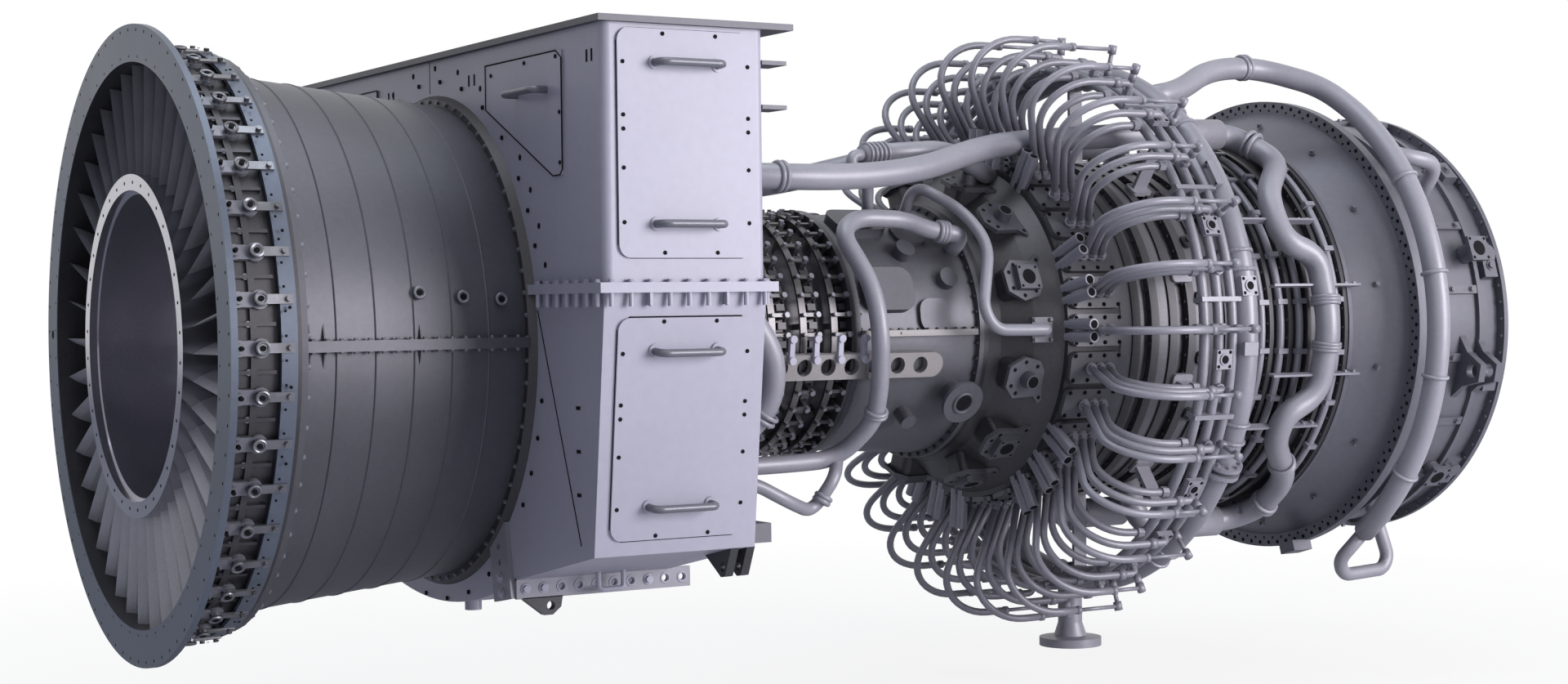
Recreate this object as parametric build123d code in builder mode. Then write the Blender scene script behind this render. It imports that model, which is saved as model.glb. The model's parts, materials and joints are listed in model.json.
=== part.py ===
"""Aeroderivative gas turbine, built as separate named pieces.

The engine axis is X. The intake flange face is at X 0 and the exhaust is at +X. Z is up, lengths in mm.
Clock angles run from 0 at the near side, -Y, to 90 at the top and 180 at the far side.
"""
import os
from math import cos, radians, sin

from build123d import *

os.makedirs("parts", exist_ok=True)

# How far a piece that meets a round face is let into it
seat_in = 3

# Intake
flange_r = 930
flange_t = 18
throat_r = 823
intake_wall = 16
intake_len = 219
rib_h = 10
vane_count = 42
vane_chord = 96
vane_t = 11
vane_x = 78
vane_turn = 22
boss_h = 12
stem_r = 13
lever_w = 26
lever_t = 6
unison_x = 159
unison_w = 45
unison_t = 12
unison_gap = 10
block_count = 14

# Hub and first rotor row
hub_r = 500
hub_bore_r = 453
hub_face_x = 5
hub_ring_t = 26
hub_len = 440
liner_t = 12
blade_count = 38
blade_x = 196
blade_turn = -40
blade_chord = 70
blade_gap = 9

# Low-pressure compressor case
lpc_end = 925
lpc_front_r = 800
lpc_rear_r = 725
lpc_wall = 14
seam_count = 5
seam_h = 3
split_w = 30
split_t = 15
lpc_port_r = 17
seat_ring_r = 746
seat_ring_t = 24
seat_ring_w = 58

# Bleed collector box
box_len = 506
box_half = 1181
box_split_z = 149
box_top_z = 865
box_wall = 12
side_taper = 84
shoulder_z = -586
floor_half = 590
floor_z = -693
belly_z = -808
lid_t = 18
lid_over = 20
lid_over_rear = 86
box_flange_t = 14
box_flange_w = 25
frame_hole_r = 430
cover_t = 8
cover_margin = 42
cover_upper_z0 = 229
cover_upper_z1 = 851
cover_lower_drop = 80
cover_lower_end = 40
cover_round = 36
panel_in_y = 430
panel_out_y = 940
panel_z0 = 465
panel_z1 = 812
handle_r = 11
handle_span = 196
handle_rise = 46
handle_bend = 22
strip_t = 14
strip_h = 60
strip_over = 70
strip_hole_r = 10
strip_hole_count = 10
end_plate_w = 122
end_plate_h = 224
end_plate_lean = 10
end_plate_in = 87
end_hole_count = 5
end_hole_pitch = 46
lug_t = 26
lug_hole_r = 13
eye_drop = 55
fork_gap = 26
fork_over = 4
fork_w = 154
fork_drop = 84
shelf_heights = (646, 770)
shelf_len = 80
shelf_w = 100
rear_block_z = -578
rear_block_len = 62
rear_block_h = 55

# High-pressure compressor
hpc_end = 2250
hpc_r = 353
hpc_wall = 18
hpc_flange_r = 450
hpc_flange_t = 20
row_count = 5
row_first = 1690
row_step = 118
row_levers = 40
row_ring_r = 396
row_ring_t = 9
row_ring_w = 24
row_guides = 8
row_guide_start = 4
lever_foot = 18
lever_stem_x = 62
lever_arm_len = 72
lever_arm_w = 12
lever_arm_t = 7
beam_len = 720
beam_h = 84
beam_t = 26
beam_hole_r = 28
beam_holes = 7
rear_case_end = 2743
rear_case_r0 = 398
rear_case_r1 = 424
joint_flange_h = 20
joint_flange_t = 18

# Combustor and fuel system
dome_end = 2980
dome_r = 576
dome_wall = 15
band_len = 223
band_r = 594
station_count = 30
plate_len = 214
plate_w = 108
plate_t = 18
fuel_r = 13
hoop_bend = 150
outer_hoop_x = 3041
outer_hoop_r = 1032
middle_hoop_x = 3097
middle_hoop_r = 978
inner_hoop_x = 3153
fuel_ring_r = 928
fuel_ring_tube = 17
fuel_ring_x1 = 3283
fuel_ring_x2 = 3344
fuel_ring_x3 = 3404
manifold_x = 3470
manifold_r = 916
manifold_tube = 46
drain_r = 113
drain_face_z = -1161
drain_t = 30
drain_neck_r = 44

# Turbine section
hpt_end = 3701
hpt_r = 572
hpt_ribs = 6
hpt_rib_h = 30
hpt_rib_w = 34
lpt_end = 4138
lpt_r0 = 596
lpt_r1 = 700
lpt_ribs = 6
turbine_wall = 16
cooling_tube_r = 14
cone_end = 4371
cone_r = 809
cone_flange_r = 856
cone_flange_t = 20
frame_len = 489
frame_r = 772
frame_wall = 16
frame_flange_r = 806
frame_hub_r = 330
strut_count = 10
strut_t = 38
clevis_hole_r = 26
clevis_t = 30
clevis_gap = 52

# Pipes on the outside
duct_r = 42
duct_line_r = 763
duct_front_r = 704
duct_bend = 75
arch_r = 40
arch_x = 4340
arch_line_r = 958
hook_r = 30
hook_line_r = 495
small_pipe_r = 20
stub_pipe_r = 34
stub_line_r = 674
loop_r = 22
branch_r = 28


def at(x, r, deg):
    """Point at a station, a radius and a clock angle."""
    return Vector(x, -r * cos(radians(deg)), r * sin(radians(deg)))


def outward(x, r, deg, turn=0):
    """Work plane at that point, its normal away from the axis and its x turned from the engine axis."""
    along = Vector(cos(radians(turn)), 0, 0) + at(0, sin(radians(turn)), deg + 90)
    return Plane(origin=at(x, r, deg), x_dir=along, z_dir=at(0, 1, deg))


def around(count, start=0.0):
    """Evenly spaced clock angles."""
    return [start + 360 * i / count for i in range(count)]


def both_sides(angles):
    """Clock angles with their mirror images on the far side."""
    return list(angles) + [180 - a for a in angles]


def turned(points):
    """Ring turned about the engine axis from an outline of (x, r) points."""
    with BuildPart() as body:
        with BuildSketch(Plane.XZ):
            with BuildLine():
                Polyline(*points, close=True)
            make_face()
        revolve(axis=Axis.X)
    return body.part


def half_turned(points, side):
    """Half ring above (side 1) or below (side -1) the split plane."""
    with BuildPart() as body:
        with BuildSketch(Plane.XY):
            with BuildLine():
                Polyline(*[(x, side * r) for x, r in points], close=True)
            make_face()
        revolve(axis=Axis.X, revolution_arc=180)
    return body.part


def ribbed(x0, x1, r0, r1, ribs, rib_height, rib_width, wall):
    """Outline of a conical case with evenly spaced ribs, the last one at its end flange."""
    outer = [(x0, r0)]
    pitch = (x1 - x0) / ribs
    for i in range(ribs):
        start = x0 + (i + 1) * pitch - rib_width
        stop = start + rib_width
        low = r0 + (r1 - r0) * (start - x0) / (x1 - x0)
        high = r0 + (r1 - r0) * (stop - x0) / (x1 - x0)
        outer += [(start, low), (start, low + rib_height), (stop, low + rib_height), (stop, high)]
    return outer[:-1] + [(x1, r1 - wall), (x0, r0 - wall)]


def studs(planes, radius, height):
    """Round bosses on a list of work planes."""
    with BuildPart() as body:
        with BuildSketch(*planes):
            Circle(radius)
        extrude(amount=height)
    return body.part


def pads(planes, length, width, corner, height):
    """Rounded flat pads on a list of work planes."""
    with BuildPart() as body:
        with BuildSketch(*planes):
            RectangleRounded(length, width, corner)
        extrude(amount=height)
    return body.part


def bars(planes, length, width, height):
    """Plain bars on a list of work planes."""
    with BuildPart() as body:
        with BuildSketch(*planes):
            Rectangle(length, width)
        extrude(amount=height)
    return body.part


def blades(planes, chord, thickness, span):
    """Row of lens-shaped blades standing on a list of work planes."""
    with BuildPart() as body:
        with BuildSketch(*planes):
            with BuildLine():
                Polyline(
                    (-chord / 2, 0),
                    (-chord / 5, thickness / 2),
                    (chord / 5, thickness / 2),
                    (chord / 2, 0),
                    (chord / 5, -thickness / 4),
                    (-chord / 5, -thickness / 4),
                    close=True,
                )
            make_face()
        extrude(amount=span)
    return body.part


def tube(points, bend, radius):
    """Pipe of one radius along a run of points with rounded corners."""
    with BuildPart() as body:
        with BuildLine() as path:
            FilletPolyline(*points, radius=bend)
        with BuildSketch(Plane(origin=path.line @ 0, z_dir=path.line % 0)):
            Circle(radius)
        sweep(path=path.line)
    return body.part


def hoop(x0, top, x1, end_r):
    """One fuel pipe in the vertical plane: up from its plate, over and aft, and down on its ring."""
    drop = top - end_r
    turn = 0.2929 * hoop_bend
    with BuildPart() as body:
        with BuildLine(Plane.XZ) as path:
            Line((x0, band_r + plate_t), (x0, top - hoop_bend))
            ThreePointArc((x0, top - hoop_bend), (x0 + turn, top - turn), (x0 + hoop_bend, top))
            if drop > 0:
                bend = drop * 0.8
                small = 0.2929 * bend
                Line((x0 + hoop_bend, top), (x1 - bend, top))
                ThreePointArc((x1 - bend, top), (x1 - small, top - small), (x1, top - bend))
                Line((x1, top - bend), (x1, end_r))
            else:
                Line((x0 + hoop_bend, top), (x1, top))
        with BuildSketch(Plane(origin=path.line @ 0, z_dir=path.line % 0)):
            Circle(fuel_r)
        sweep(path=path.line)
    return body.part


def handle(plane):
    """Bail handle standing on a work plane, its span along the plane's x."""
    half = handle_span / 2
    points = [(-half, 0, 0), (-half, 0, handle_rise), (half, 0, handle_rise), (half, 0, 0)]
    return tube([plane.from_local_coords(Vector(*p)) for p in points], handle_bend, handle_r)


def slab(points, plane, thickness):
    """Flat plate of a given outline on a work plane."""
    with BuildPart() as body:
        with BuildSketch(plane):
            with BuildLine():
                Polyline(*points, close=True)
            make_face()
        extrude(amount=thickness)
    return body.part


def mirrored(part):
    """A piece and its twin on the far side."""
    return [part, part.mirror(Plane.XZ)]


# Intake case: flange, ribbed barrel and one boss for each vane
case_r = throat_r + intake_wall
stations = around(vane_count)
between = around(vane_count, 180 / vane_count)
with BuildPart() as intake_case:
    add(
        turned(
            [
                (0, throat_r),
                (0, flange_r),
                (flange_t, flange_r),
                (flange_t, case_r),
                (unison_x / 2, case_r),
                (unison_x / 2, case_r + rib_h),
                (unison_x / 2 + flange_t, case_r + rib_h),
                (unison_x / 2 + flange_t, case_r),
                (intake_len - flange_t, case_r),
                (intake_len - flange_t, case_r + rib_h),
                (intake_len, case_r + rib_h),
                (intake_len, throat_r),
            ]
        )
    )
    add(bars([outward(unison_x / 2, case_r - 4, a) for a in between], unison_x - flange_t, rib_h, rib_h + 4))
    add(pads([outward(unison_x / 2, case_r - 4, a) for a in stations], 96, 44, 20, boss_h + 4))
intake_case.part.label = "intake_case"
export_step(intake_case.part, "parts/intake_case.step")

# Variable inlet guide vanes between the hub and the case
with BuildPart() as inlet_guide_vanes:
    add(
        blades(
            [outward(vane_x, hub_r - seat_in, a, vane_turn) for a in stations],
            vane_chord,
            vane_t,
            throat_r - hub_r + 2 * seat_in,
        )
    )
inlet_guide_vanes.part.label = "inlet_guide_vanes"
export_step(inlet_guide_vanes.part, "parts/inlet_guide_vanes.step")

# Inlet hub: polished ring, open liner and the bearing housing at its back
with BuildPart() as inlet_hub:
    add(
        turned(
            [
                (hub_face_x, hub_bore_r),
                (hub_face_x, hub_r),
                (hub_len / 3, hub_r),
                (hub_len / 3, hub_bore_r + liner_t),
                (hub_len, hub_bore_r + liner_t),
                (hub_len, 0),
                (hub_len - 60, 0),
                (hub_len - 60, hub_bore_r / 3),
                (hub_len - liner_t, hub_bore_r / 2),
                (hub_len - liner_t, hub_bore_r - 10),
                (hub_face_x + hub_ring_t, hub_bore_r - 10),
                (hub_face_x + hub_ring_t, hub_bore_r),
            ]
        )
    )
inlet_hub.part.label = "inlet_hub"
export_step(inlet_hub.part, "parts/inlet_hub.step")

# First blade row, seen between the vanes
with BuildPart() as first_blade_row:
    drum_in = hub_bore_r + liner_t
    add(
        turned(
            [
                (hub_len / 3 + 1, drum_in),
                (hub_len / 3 + 1, hub_r),
                (hub_len, hub_r + 20),
                (hub_len, drum_in),
            ]
        )
    )
    add(
        blades(
            [outward(blade_x, hub_r - seat_in, a, blade_turn) for a in around(blade_count)],
            blade_chord,
            vane_t,
            throat_r - hub_r - blade_gap,
        )
    )
first_blade_row.part.label = "first_blade_row"
export_step(first_blade_row.part, "parts/first_blade_row.step")

# Vane levers: a stem in each boss and an arm that reaches the unison ring
lever_r = case_r + boss_h
lever_x0 = unison_x / 2 + 26
lever_x1 = unison_x + unison_w / 2
lever_top = case_r + unison_gap + unison_t
with BuildPart() as vane_levers:
    add(studs([outward(lever_x0, lever_r, a) for a in stations], stem_r, lever_top + 14 - lever_r))
    add(
        bars(
            [outward((lever_x0 + lever_x1) / 2, lever_top, a) for a in stations],
            lever_x1 - lever_x0 + lever_w,
            lever_w,
            lever_t,
        )
    )
vane_levers.part.label = "vane_levers"
export_step(vane_levers.part, "parts/vane_levers.step")

# Unison ring on its guide blocks
unison_r = case_r + unison_gap
with BuildPart() as unison_ring:
    add(
        turned(
            [
                (unison_x, unison_r),
                (unison_x, unison_r + unison_t),
                (unison_x + unison_w, unison_r + unison_t),
                (unison_x + unison_w, unison_r),
            ]
        )
    )
    add(
        bars(
            [outward(unison_x + unison_w / 2, case_r, a) for a in around(block_count, 90 / block_count)],
            unison_w,
            36,
            unison_gap + unison_t / 2,
        )
    )
unison_ring.part.label = "unison_ring"
export_step(unison_ring.part, "parts/unison_ring.step")

# Low-pressure compressor case: two barrels halves with ring seams, split flanges and three ports
lpc_len = lpc_end - intake_len


def lpc_radius(x):
    """Outer radius of the barrel at a station."""
    return lpc_front_r + (lpc_rear_r - lpc_front_r) * (x - intake_len) / lpc_len


front_lip_r = case_r + rib_h
lpc_outer = [
    (intake_len, front_lip_r),
    (intake_len + flange_t, front_lip_r),
    (intake_len + flange_t, lpc_radius(intake_len + flange_t)),
]
for i in range(1, seam_count + 1):
    seam_x = intake_len + lpc_len * i / (seam_count + 1)
    lpc_outer += [
        (seam_x - seam_h, lpc_radius(seam_x - seam_h)),
        (seam_x, lpc_radius(seam_x) + seam_h),
        (seam_x + seam_h, lpc_radius(seam_x + seam_h)),
    ]
lpc_outer += [
    (lpc_end, lpc_rear_r),
    (lpc_end, lpc_rear_r - lpc_wall),
    (intake_len, lpc_front_r - lpc_wall),
]
split_x0 = intake_len + flange_t
split_outline = [
    (split_x0, lpc_radius(split_x0) - lpc_wall / 2),
    (lpc_end, lpc_rear_r - lpc_wall / 2),
    (lpc_end, lpc_rear_r + split_w),
    (split_x0, lpc_radius(split_x0) + split_w),
]
with BuildPart() as compressor_case_upper:
    add(half_turned(lpc_outer, 1))
    add(mirrored(slab(split_outline, Plane.XY, split_t)))
    add(
        studs(
            [
                outward(x, lpc_radius(x) - lpc_wall / 2, a)
                for x, deg in ((590, 10.7), (726, 9.9), (848, 9.5))
                for a in (deg, 180 - deg)
            ],
            lpc_port_r,
            lpc_wall / 2 + 14,
        )
    )
compressor_case_upper.part.label = "compressor_case_upper"
export_step(compressor_case_upper.part, "parts/compressor_case_upper.step")

with BuildPart() as compressor_case_lower:
    add(half_turned(lpc_outer, -1))
    add(mirrored(slab(split_outline, Plane.XY, -split_t)))
compressor_case_lower.part.label = "compressor_case_lower"
export_step(compressor_case_lower.part, "parts/compressor_case_lower.step")

# Seat ring between the barrel and the collector box
box_front = lpc_end + seat_ring_t
box_rear = box_front + box_len
seat_bore_r = seat_ring_r - seat_ring_w
with BuildPart() as case_seat_ring:
    add(
        turned(
            [
                (lpc_end, seat_bore_r),
                (lpc_end, seat_ring_r),
                (box_front, seat_ring_r + 12),
                (box_front, seat_bore_r),
            ]
        )
    )
case_seat_ring.part.label = "case_seat_ring"
export_step(case_seat_ring.part, "parts/case_seat_ring.step")

# Bleed collector box, upper half: an open-bottomed shell with a mid flange
front_plane = Plane.YZ.offset(box_front)
shoulder_half = box_half - side_taper
rear_plane = Plane.YZ.offset(box_rear)
flange_front = box_front - box_flange_w
flange_rear = box_rear + box_flange_w
with BuildPart() as bleed_box_upper:
    with BuildSketch(front_plane):
        with Locations((0, (box_split_z + box_top_z) / 2)):
            Rectangle(2 * box_half, box_top_z - box_split_z)
    extrude(amount=box_len)
    vertical = bleed_box_upper.edges().filter_by(Axis.Z)
    fillet(vertical, box_wall * 2)
    with BuildSketch(Plane.YZ.offset(box_front + box_wall)):
        with Locations((0, (box_split_z + box_top_z - box_wall) / 2)):
            Rectangle(2 * (box_half - box_wall), box_top_z - box_wall - box_split_z)
    extrude(amount=box_len - 2 * box_wall, mode=Mode.SUBTRACT)
    with BuildSketch(Plane.XY.offset(box_split_z)):
        with Locations(((box_front + box_rear) / 2, 0)):
            Rectangle(flange_rear - flange_front, 2 * (box_half + box_flange_w))
            Rectangle(box_len - 2 * box_wall, 2 * (box_half - box_wall), mode=Mode.SUBTRACT)
    extrude(amount=box_flange_t)
    with BuildSketch(Plane.YZ.offset(flange_front)):
        Circle(seat_bore_r)
    extrude(amount=box_flange_w + box_wall, mode=Mode.SUBTRACT)
    with BuildSketch(Plane.YZ.offset(flange_front)):
        Circle(seat_ring_r + 14)
    extrude(amount=box_flange_w, mode=Mode.SUBTRACT)
    with BuildSketch(Plane.YZ.offset(box_rear - box_wall)):
        Circle(frame_hole_r)
    extrude(amount=box_flange_w + box_wall, mode=Mode.SUBTRACT)
    with BuildSketch(rear_plane):
        Circle(hpc_flange_r + 4)
    extrude(amount=box_flange_w, mode=Mode.SUBTRACT)
bleed_box_upper.part.label = "bleed_box_upper"
export_step(bleed_box_upper.part, "parts/bleed_box_upper.step")


def lower_outline(inset):
    """Outline of the lower half in the YZ plane, moved in by a wall."""
    with BuildSketch() as outline:
        with BuildLine():
            Polyline(
                (-floor_half + inset / 2, floor_z + inset),
                (-shoulder_half + inset, shoulder_z + inset / 2),
                (-box_half + inset, box_split_z),
                (box_half - inset, box_split_z),
                (shoulder_half - inset, shoulder_z + inset / 2),
                (floor_half - inset / 2, floor_z + inset),
            )
            ThreePointArc(
                (floor_half - inset / 2, floor_z + inset),
                (0, belly_z + inset),
                (-floor_half + inset / 2, floor_z + inset),
            )
        make_face()
    return outline.sketch


# Lower half: tapered sides and a rounded belly
with BuildPart() as bleed_box_lower:
    with BuildSketch(front_plane):
        add(lower_outline(0))
    extrude(amount=box_len)
    with BuildSketch(Plane.YZ.offset(box_front + box_wall)):
        add(lower_outline(box_wall))
    extrude(amount=box_len - 2 * box_wall, mode=Mode.SUBTRACT)
    with BuildSketch(Plane.XY.offset(box_split_z)):
        with Locations(((box_front + box_rear) / 2, 0)):
            Rectangle(flange_rear - flange_front, 2 * (box_half + box_flange_w))
            Rectangle(box_len - 2 * box_wall, 2 * (box_half - box_wall), mode=Mode.SUBTRACT)
    extrude(amount=-box_flange_t)
    with BuildSketch(Plane.YZ.offset(flange_front)):
        Circle(seat_bore_r)
    extrude(amount=box_flange_w + box_wall, mode=Mode.SUBTRACT)
    with BuildSketch(Plane.YZ.offset(flange_front)):
        Circle(seat_ring_r + 14)
    extrude(amount=box_flange_w, mode=Mode.SUBTRACT)
    with BuildSketch(Plane.YZ.offset(box_rear - box_wall)):
        Circle(frame_hole_r)
    extrude(amount=box_flange_w + box_wall, mode=Mode.SUBTRACT)
    with BuildSketch(rear_plane):
        Circle(hpc_flange_r + 4)
    extrude(amount=box_flange_w, mode=Mode.SUBTRACT)
bleed_box_lower.part.label = "bleed_box_lower"
export_step(bleed_box_lower.part, "parts/bleed_box_lower.step")

# Overhanging lid plate
with BuildPart() as box_lid:
    with BuildSketch(Plane.XY.offset(box_top_z)):
        with Locations(((box_front - lid_over + box_rear + lid_over_rear) / 2, 0)):
            Rectangle(box_len + lid_over + lid_over_rear, 2 * (box_half + lid_over))
    extrude(amount=lid_t)
box_lid.part.label = "box_lid"
export_step(box_lid.part, "parts/box_lid.step")

# Side covers: upright above the flange, leaning with the tapered side below it
box_mid = (box_front + box_rear) / 2
cover_len = box_len - 2 * cover_margin
lean = side_taper / (box_split_z - shoulder_z)
upper_mid = (cover_upper_z0 + cover_upper_z1) / 2
upper_plane = Plane(origin=(box_mid, -box_half, upper_mid), x_dir=(1, 0, 0), z_dir=(0, -1, 0))
lower_z1 = box_split_z - cover_lower_drop
lower_z0 = shoulder_z + cover_lower_end
lower_mid = (lower_z0 + lower_z1) / 2
lower_plane = Plane(
    origin=(box_mid, -box_half + lean * (box_split_z - lower_mid), lower_mid),
    x_dir=(1, 0, 0),
    z_dir=(0, -1, -lean),
)
with BuildPart() as side_covers_upper:
    add(mirrored(pads([upper_plane], cover_len, cover_upper_z1 - cover_upper_z0, cover_round, cover_t)))
side_covers_upper.part.label = "side_covers_upper"
export_step(side_covers_upper.part, "parts/side_covers_upper.step")

with BuildPart() as side_covers_lower:
    add(mirrored(pads([lower_plane], cover_len, lower_z1 - lower_z0, cover_round, cover_t)))
side_covers_lower.part.label = "side_covers_lower"
export_step(side_covers_lower.part, "parts/side_covers_lower.step")

# Corner panels on the front of the box, cut off along the barrel
panel_plane = Plane(origin=(box_front, 0, 0), x_dir=(0, -1, 0), z_dir=(-1, 0, 0))
panel_outline = [
    (panel_in_y, panel_z1),
    (panel_out_y, panel_z1),
    (panel_out_y, panel_z0),
    (panel_out_y - 60, panel_z0),
    (panel_in_y, panel_z1 - 130),
]
with BuildPart() as front_panels:
    add(mirrored(slab(panel_outline, panel_plane, cover_t / 2)))
front_panels.part.label = "front_panels"
export_step(front_panels.part, "parts/front_panels.step")

# Bail handles on the covers and the panels
upper_face = upper_plane.offset(cover_t)
lower_face = lower_plane.offset(cover_t)
upper_reach = (cover_upper_z1 - cover_upper_z0) / 2 - 92
lower_reach = (lower_z1 - lower_z0) / 2 - 92
panel_face = Plane(
    origin=(box_front - cover_t / 2, -(panel_in_y + panel_out_y) / 2 - 60, (panel_z0 + panel_z1) / 2 + 70),
    x_dir=(0, -1, 0),
    z_dir=(-1, 0, 0),
)
with BuildPart() as cover_handles:
    for face, reach in ((upper_face, upper_reach), (lower_face, lower_reach)):
        for side in (-1, 1):
            spot = Plane(
                origin=face.from_local_coords(Vector(0, side * reach, 0)),
                x_dir=face.x_dir,
                z_dir=face.z_dir,
            )
            add(mirrored(handle(spot)))
    add(mirrored(handle(panel_face)))
cover_handles.part.label = "cover_handles"
export_step(cover_handles.part, "parts/cover_handles.step")

# Base strips under the belly, with a leaning end plate in front of each
strip_y = floor_half - strip_t
strip_len = box_len + strip_over
strip_mid = floor_z + seat_in - strip_h / 2
strip_plane = Plane(
    origin=(box_front + strip_len / 2, -strip_y, strip_mid),
    x_dir=(1, 0, 0),
    z_dir=(0, -1, 0),
)
end_plane = Plane(
    origin=(box_front, -floor_half + end_plate_in, floor_z + strip_h - strip_t),
    x_dir=(0, -cos(radians(end_plate_lean)), sin(radians(end_plate_lean))),
    z_dir=(-1, 0, 0),
)
with BuildPart() as base_strips:
    with BuildPart(mode=Mode.PRIVATE) as one_strip:
        with BuildSketch(strip_plane):
            Rectangle(strip_len, strip_h)
            with GridLocations(strip_len / strip_hole_count, strip_h, strip_hole_count, 1):
                Circle(strip_hole_r, mode=Mode.SUBTRACT)
        extrude(amount=strip_t)
        with BuildSketch(end_plane):
            Rectangle(end_plate_w, end_plate_h)
            with GridLocations(end_plate_w, end_hole_pitch, 1, end_hole_count):
                Circle(strip_hole_r, mode=Mode.SUBTRACT)
        extrude(amount=strip_t)
    add(mirrored(one_strip.part))
base_strips.part.label = "base_strips"
export_step(base_strips.part, "parts/base_strips.step")


def floor_at(y):
    """Height of the sloped underside at a distance from the middle."""
    return floor_z + (y - floor_half) * (shoulder_z - floor_z) / (shoulder_half - floor_half)


# Lifting lugs: an eye under each strip and a fork of two cheeks at each rear corner
eye_top = strip_mid - strip_h / 2 + seat_in
eye_outline = [
    (-eye_drop * 1.2, 0),
    (eye_drop * 1.2, 0),
    (eye_drop * 1.1, -eye_drop * 0.6),
    (eye_drop * 0.6, -eye_drop),
    (eye_drop * 0.1, -eye_drop),
]
eye_x = box_front + eye_drop * 1.5
eye_plane = Plane(origin=(eye_x, lug_t - floor_half, eye_top), x_dir=(1, 0, 0), z_dir=(0, -1, 0))
eye_hole = (eye_drop / 2, -eye_drop / 2)
fork_out = shoulder_half - fork_over
fork_in = fork_out - fork_w
fork_tip = shoulder_z - fork_drop
fork_outline = [
    (fork_in, floor_at(fork_in) + seat_in),
    (fork_out, floor_at(fork_out) + seat_in),
    (fork_out - fork_w / 4, fork_tip),
    (fork_out - fork_w * 0.4, fork_tip - fork_over),
]
fork_rear = Plane(origin=(box_rear + fork_over, 0, 0), x_dir=(0, -1, 0), z_dir=(-1, 0, 0))
fork_front = fork_rear.offset(lug_t + fork_gap)
fork_hole = (fork_out - fork_w / 3, fork_tip + lug_t)
with BuildPart() as base_lugs:
    for plane, outline, hole in (
        (eye_plane, eye_outline, eye_hole),
        (fork_rear, fork_outline, fork_hole),
        (fork_front, fork_outline, fork_hole),
    ):
        with BuildPart(mode=Mode.PRIVATE) as one_lug:
            with BuildSketch(plane):
                with BuildLine():
                    Polyline(*outline, close=True)
                make_face()
                with Locations(hole):
                    Circle(lug_hole_r, mode=Mode.SUBTRACT)
            extrude(amount=lug_t)
        add(mirrored(one_lug.part))
base_lugs.part.label = "base_lugs"
export_step(base_lugs.part, "parts/base_lugs.step")

# Shelves and corner blocks on the rear face of the box
shelf_mid = box_half - shelf_w * 0.6
block_mid = shoulder_half - shelf_w * 0.6
block_x = box_rear + rear_block_len / 2
with BuildPart() as box_shelves:
    for z in shelf_heights:
        with BuildSketch(Plane.XY.offset(z)):
            with Locations((box_rear + shelf_len / 2, -shelf_mid), (box_rear + shelf_len / 2, shelf_mid)):
                Rectangle(shelf_len, shelf_w)
        extrude(amount=box_wall)
    with BuildSketch(Plane.XY.offset(rear_block_z)):
        with Locations((block_x, -block_mid), (block_x, block_mid)):
            Rectangle(rear_block_len, shelf_w)
    extrude(amount=rear_block_h)
box_shelves.part.label = "box_shelves"
export_step(box_shelves.part, "parts/box_shelves.step")

# High-pressure compressor case between the box and the rear case
with BuildPart() as core_compressor_case:
    add(
        turned(
            [
                (box_rear, hpc_r - hpc_wall),
                (box_rear, hpc_flange_r),
                (box_rear + hpc_flange_t, hpc_flange_r),
                (box_rear + 120, hpc_r),
                (hpc_end - joint_flange_t, hpc_r),
                (hpc_end - joint_flange_t, rear_case_r0 + joint_flange_h),
                (hpc_end, rear_case_r0 + joint_flange_h),
                (hpc_end, hpc_r - hpc_wall),
            ]
        )
    )
core_compressor_case.part.label = "core_compressor_case"
export_step(core_compressor_case.part, "parts/core_compressor_case.step")

# Stator unison rings on guide blocks, and the lever rows that they turn
row_x = [row_first + i * row_step for i in range(row_count)]
with BuildPart() as stator_rings:
    for x in row_x:
        add(
            turned(
                [
                    (x, row_ring_r),
                    (x, row_ring_r + row_ring_t),
                    (x + row_ring_w, row_ring_r + row_ring_t),
                    (x + row_ring_w, row_ring_r),
                ]
            )
        )
        block_h = row_ring_r - hpc_r + row_ring_t / 2
        guides = [outward(x + row_ring_w / 2, hpc_r - 1, a) for a in around(row_guides, row_guide_start)]
        add(bars(guides, row_ring_w, lever_foot, block_h + 1))
stator_rings.part.label = "stator_rings"
export_step(stator_rings.part, "parts/stator_rings.step")

lever_seat = row_ring_r + row_ring_t
with BuildPart() as stator_levers:
    for x in row_x:
        stems = [outward(x + lever_stem_x, hpc_r - 1, a) for a in around(row_levers)]
        add(bars(stems, lever_foot, lever_foot, lever_seat + 1 - hpc_r))
        arms = [outward(x + lever_arm_len * 0.55, lever_seat, a) for a in around(row_levers)]
        add(bars(arms, lever_arm_len, lever_arm_w, lever_arm_t))
stator_levers.part.label = "stator_levers"
export_step(stator_levers.part, "parts/stator_levers.step")

# Actuator beams below the split line, drilled along their length
beam_mid = row_x[-1] + lever_stem_x
beam_r = lever_seat + 8
beam_foot_r = lever_seat - 20
beam_deg = -14
with BuildPart() as actuator_beams:
    with BuildPart(mode=Mode.PRIVATE) as one_beam:
        with BuildSketch(outward(beam_mid, beam_r, beam_deg)):
            SlotOverall(beam_len, beam_h)
            with GridLocations(beam_len / (beam_holes + 1), beam_h, beam_holes, 1):
                Circle(beam_hole_r, mode=Mode.SUBTRACT)
        extrude(amount=beam_t)
        front_foot = outward(row_x[0] + lever_stem_x, beam_foot_r, beam_deg)
        rear_foot = outward(hpc_end - joint_flange_t / 2, beam_foot_r, beam_deg)
        with BuildSketch(front_foot, rear_foot):
            Rectangle(16, beam_h * 0.7)
        extrude(amount=beam_r - beam_foot_r + 4)
    add(mirrored(one_beam.part))
actuator_beams.part.label = "actuator_beams"
export_step(actuator_beams.part, "parts/actuator_beams.step")

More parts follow.
